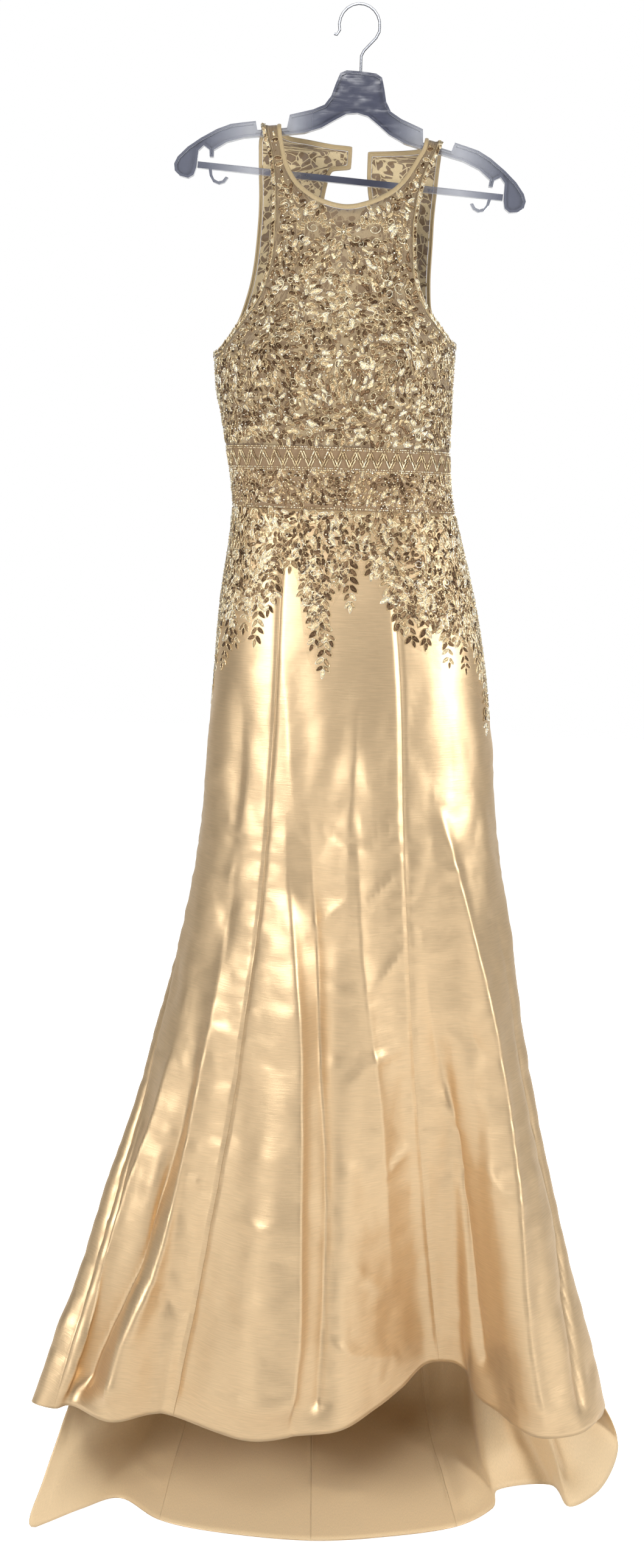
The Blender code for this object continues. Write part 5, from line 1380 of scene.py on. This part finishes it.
class GOWN_OT_lining(bpy.types.Operator):
    """Build the bust lining behind the net, with its sweetheart top edge"""
    bl_idname = "gown.lining"
    bl_label = "Bust lining"

    def execute(self, context):
        front = pieces_of_bodice()[0]
        t = np.linspace(front.underarms[0] + 0.6, front.underarms[1] - 0.6, 101)
        fine = np.linspace(0, 1, 401)
        angle, z = front.grid("inner_net", "outer_net", t, fine)
        over = z > edge_of(SWEETHEART, angle)
        start = np.minimum(fine[np.minimum(over.sum(1), 400)], 0.97)[:, None]
        share = start + (1 - start) * np.linspace(0, 1, 34)[None, :]
        at = [np.array([np.interp(s, fine, line) for s, line in zip(share, lines)])
              for lines in (angle, z)]
        normals = ring_normals(*at)
        lining = need("Nude lining", plain_weave, tuple(settings().lining_colour), 0.7)
        cloth("bust_lining", "_cloth", ring(*at) - normals * LINING_DEPTH, normals, LINING_WALL,
              lining, (0.36, 0.17), 0.0494)
        return {"FINISHED"}


class GOWN_OT_bindings(bpy.types.Operator):
    """Build the narrow bindings of the neck, the armholes, the neck tabs and the keyhole"""
    bl_idname = "gown.bindings"
    bl_label = "Bindings"

    def execute(self, context):
        front, left, right = pieces_of_bodice()
        self.strip("neck_front", *self.edge(front, "inner", 0, front.rows - 1))
        for side, piece in enumerate((left, right)):
            name, under = ("left", "right")[side], front.underarms[side]
            ahead = self.edge(front, "outer", under, (0, front.rows - 1)[side])
            behind = self.edge(piece, "outer", 0, piece.underarms[0])
            top = (ahead[0][-1:] + behind[0][:1]) / 2
            top[..., 1] = 0.0
            up = np.broadcast_to((0.0, 0.0, 1.0), top.shape)
            self.strip("armhole_" + name, *(np.concatenate([a[:-1], over, b[1:]])
                                            for a, over, b in zip(ahead, (top, up), behind)))
            self.strip("back_" + name, *self.edge(piece, "inner", 0, piece.underarms[0] - 2))
        return {"FINISHED"}

    def edge(self, piece, edge, start, end):
        """Points and normals of the strip along an edge, between two rows of the piece's table."""
        t = np.linspace(start, end, abs(end - start) * 6 + 1)
        at = piece.grid(edge, edge + "_bound", t, np.linspace(0, 1, 7))
        return ring(*at), ring_normals(*at)

    def strip(self, name, points, normals):
        roll = BINDING_ROLL * np.sin(np.pi * np.linspace(0, 1, points.shape[1]))
        points = points + normals * roll[None, :, None]
        long = float(np.linalg.norm(np.diff(points[:, 3], axis=0), axis=1).sum())
        weave = need("Binding satin", plain_weave, tuple(settings().binding_colour), 0.5, 1100.0)
        cloth("binding_" + name, "_strip", points, normals, BINDING_WALL, weave,
              (2.2 * BINDING_WIDTH, long), 1.1 * BINDING_WIDTH * long)


class GOWN_OT_hip_lace(bpy.types.Operator):
    """Build the ground of the lace laid on the hips"""
    bl_idname = "gown.hip_lace"
    bl_label = "Hip lace"

    def execute(self, context):
        net = need("Hip net", net_material, (0.62, 0.47, 0.27), 0.02, 0.0, 0.10)
        for name, first, last in ROUND:
            flat, area = ((0.42, 0.31), 0.068) if name == "front" else ((0.21, 0.31), 0.033)
            angle = np.linspace(first, last, int((last - first) / 1.5) + 1)[:, None]
            edge = edge_of(HIP_LACE, angle) + HIP_NET_BELOW
            z = WAIST_Z + (edge - WAIST_Z) * np.linspace(0, 1, 30)[None, :]
            angle = angle + 0 * z
            normals = ring_normals(angle, z)
            cloth("hip_lace_" + name, "_net", ring(angle, z) + normals * HIP_NET_LIFT, normals,
                  HIP_NET_WALL, net, flat, area)
        return {"FINISHED"}


class GOWN_OT_beadwork(bpy.types.Operator):
    """Lay the sequinned petals, curls and beads over the bodice, the midriff and the hips"""
    bl_idname = "gown.beadwork"
    bl_label = "Beadwork"

    def execute(self, context):
        front, left, right = pieces_of_bodice()
        low = MIDRIFF_Z + 0.004
        beads = Beadwork(11, ON_NET, 0.66)
        cover_bodice(beads, front, 180.5, 359.5, CHEST_TOP, low, 0.0074, True)
        for end, under in zip((0, front.rows - 1), front.underarms):
            self.armhole_leaves(beads, front, under, end)
        beads.make("beadwork_front")
        for name, piece, first, seed in (("left", left, 450.5, 12), ("right", right, 360.5, 13)):
            beads = Beadwork(seed)
            cover_bodice(beads, piece, first, first + 89.0, CHEST_TOP, low, 0.0088, False, 0.6)
            beads.make("beadwork_back_" + name)
        for name, first, seed in (("front", 180.3, 14), ("back", 360.3, 15)):
            beads = Beadwork(seed, ON_NET, 0.50)
            cover_midriff(beads, first, {180.3: 359.7, 360.3: 539.7}[first])
            beads.make("beadwork_midriff_" + name)
        beads = Beadwork(16, ON_SATIN, 0.60)
        cover_hips(beads, 180.3, 359.7, 0.0066, HIP_SPRAYS)
        beads.make("beadwork_hips_front")
        beads = Beadwork(17, ON_SATIN, 0.45)
        tips = [(angle, height) for angle, height in HIP_LACE if 366 < angle < 534]
        sprays = [(a - 1.0, h + 0.085, a, h + 0.003, 0.05 * (-1) ** k)
                  for k, (a, h) in enumerate(tips)]
        cover_hips(beads, 360.3, 539.7, 0.0090, sprays)
        beads.make("beadwork_hips_back")
        return {"FINISHED"}

    def armhole_leaves(self, beads, piece, start, end):
        """A row of leaves along the binding of an armhole, up to the strap."""
        t = np.linspace(start, end, abs(end - start) * 9 + 1)
        middle = piece.grid("outer", "outer_bound", t, np.array([0.5]))
        angle, z = (values[:, 0] for values in middle)
        for a, h in zip(angle, z):
            if h < -0.045:
                size = beads.random.uniform(0.0050, 0.0075)
                beads.lay("leaf", a, h, beads.random.uniform(40, 140), size, size * 0.5,
                          0.0016, None, 0.0016)


class GOWN_OT_zip(bpy.types.Operator):
    """Set the zip's teeth down the centre back, below the slider"""
    bl_idname = "gown.zip"
    bl_label = "Zip teeth"

    def execute(self, context):
        teeth = Beadwork(18, ON_SATIN)
        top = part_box("zip_slider")[0][2] - 0.001
        for k in range(int((top - ZIP_END) / ZIP_PITCH)):
            z = top - (k + 0.5) * ZIP_PITCH
            side = -1 if k % 2 else 1
            aside = side * 0.0006 / teeth.per_degree(450, z)
            teeth.lay("tooth", 450 + aside, z, 0, 0.0019, 0.0009, 0.0007)
        teeth.make("zip_teeth", zip_metal(), "zip_metal")
        return {"FINISHED"}


def zip_metal():
    return need("Zip metal", metal, (0.80, 0.68, 0.45), 0.25)


class GOWN_OT_hanger(bpy.types.Operator):
    """Give the hanger, its hook and the zip their finishes"""
    bl_idname = "gown.hanger"
    bl_label = "Hanger and zip"

    def execute(self, context):
        # the plastic's dark and mid colours, and the pale colour of its painted edge highlight
        plastic = need("Clear plastic", clear_plastic, (0.075, 0.08, 0.115), (0.22, 0.24, 0.31),
                       (0.78, 0.80, 0.84))
        chrome = need("Chrome wire", metal, (0.17, 0.175, 0.19), 0.20)
        for name, material in (("hanger_arms", plastic), ("hanger_bar", plastic),
                               ("hanger_hook", chrome), ("zip_slider", zip_metal()),
                               ("zip_pull", zip_metal())):
            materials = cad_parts[name].data.materials
            materials.clear()
            materials.append(material)
        return {"FINISHED"}


# Lights: name, place, what they point at, size across and power.
LIGHTS = (
    ("left_light", (-1.70, -1.9, -0.4), (0.0, 0.0, -1.35), 1.0, 44.0),
    ("right_light", (2.1, -1.2, -0.5), (0.1, 0.0, -1.35), 0.9, 40.0),
    ("top_light", (-0.1, -2.2, 0.9), (0.0, 0.0, -0.8), 0.9, 22.0),
    ("back_light", (0.9, 2.4, 0.3), (0.0, 0.0, -1.0), 1.0, 34.0),
)
CAMERA_AT = (-0.0134, -2.15, -0.60)
CAMERA_DOWN, CAMERA_ROLL = 9.34, 2.0   # degrees


class GOWN_OT_stage(bpy.types.Operator):
    """Set the pale floor, the soft lights and the camera"""
    bl_idname = "gown.stage"
    bl_label = "Stage"

    def execute(self, context):
        shell = bmesh.new()
        bmesh.ops.create_grid(shell, x_segments=1, y_segments=1, size=6.0)
        bmesh.ops.translate(shell, verts=shell.verts, vec=(0, 2.0, FLOOR_Z - SATIN / 2 - 0.0012))
        mesh = bpy.data.meshes.new("floor")
        shell.to_mesh(mesh)
        shell.free()
        floor = linked("floor", mesh)
        pale = Look("Pale floor", (0.93,) * 3, 0.9, Emission_Color=(1.0,) * 4)
        seen = pale.node("ShaderNodeLightPath").outputs["Is Camera Ray"]
        speck = pale.noise(pale.at_object(), 2.0)
        pale.set(Emission_Strength=pale.between(seen, 0.04, 0.75),
                 Base_Color=pale.ramp(speck, (0.3, 0.92), (0.7, 0.94)))
        mesh.materials.append(pale.material)
        self.world(context.scene)
        for name, place, aim, size, energy in LIGHTS:
            light = bpy.data.lights.new(name, "AREA")
            light.shape = "DISK"
            light.size = size
            light.energy = energy
            lamp = linked(name, light)
            lamp.location = place
            lamp.rotation_euler = (Vector(aim) - Vector(place)).to_track_quat("-Z", "Y").to_euler()
        view = bpy.data.cameras.new("camera")
        view.sensor_width = 36.0
        view.lens = 2756.0 / 2576.0 * 36.0
        camera = linked("camera", view)
        tilt = Matrix.Rotation(math.radians(90.0 - CAMERA_DOWN), 4, "X")
        roll = Matrix.Rotation(math.radians(CAMERA_ROLL), 4, "Z")
        camera.matrix_world = Matrix.Translation(CAMERA_AT) @ tilt @ roll
        context.scene.camera = camera
        context.scene.view_settings.view_transform = "Standard"
        return {"FINISHED"}

    def world(self, scene):
        """A studio that is light behind and above, dark in front and white to the camera."""
        world = bpy.data.worlds.new("Studio")
        scene.world = world
        world.use_nodes = True
        tree = world.node_tree
        back = tree.nodes["Background"]
        back.inputs["Color"].default_value = (1.0,) * 4
        way = node(tree, "ShaderNodeTexCoord").outputs["Generated"]
        parts = node(tree, "ShaderNodeSeparateXYZ", Vector=way)
        behind, above = (
            node(tree, "ShaderNodeMapRange", Value=parts.outputs[axis], From_Min=start,
                 From_Max=end, To_Min=low, To_Max=high).outputs["Result"]
            for axis, start, end, low, high in (("Y", 0.25, 0.80, 0.06, 0.80),
                                                ("Z", 0.35, 0.95, 0.0, 0.38)))
        seen = node(tree, "ShaderNodeLightPath").outputs["Is Camera Ray"]
        strength = math_node(tree, "MAXIMUM", math_node(tree, "MAXIMUM", behind, above), seen)
        tree.links.new(strength, back.inputs["Strength"])


class GOWN_PT_panel(bpy.types.Panel):
    """Lists the gown's pieces in the 3D view's sidebar"""
    bl_label = "Gown"
    bl_idname = "GOWN_PT_panel"
    bl_space_type = "VIEW_3D"
    bl_region_type = "UI"
    bl_category = "Gown"

    def draw(self, context):
        layout = self.layout
        for name in GownSettings.__annotations__:
            layout.prop(context.scene.gown_settings, name)
        for operator in OPERATORS:
            layout.operator(operator.bl_idname)


OPERATORS = (
    GOWN_OT_skirt,
    GOWN_OT_bodice,
    GOWN_OT_lining,
    GOWN_OT_bindings,
    GOWN_OT_hip_lace,
    GOWN_OT_beadwork,
    GOWN_OT_zip,
    GOWN_OT_hanger,
    GOWN_OT_stage,
)


def register():
    for kind in (GownSettings, *OPERATORS, GOWN_PT_panel):
        bpy.utils.register_class(kind)
    bpy.types.Scene.gown_settings = PointerProperty(type=GownSettings)


def unregister():
    del bpy.types.Scene.gown_settings
    for kind in (GOWN_PT_panel, *reversed(OPERATORS), GownSettings):
        bpy.utils.unregister_class(kind)


def main():
    register()
    for operator in OPERATORS:
        group, name = operator.bl_idname.split(".")
        getattr(getattr(bpy.ops, group), name)()


if __name__ == "__main__":
    main()
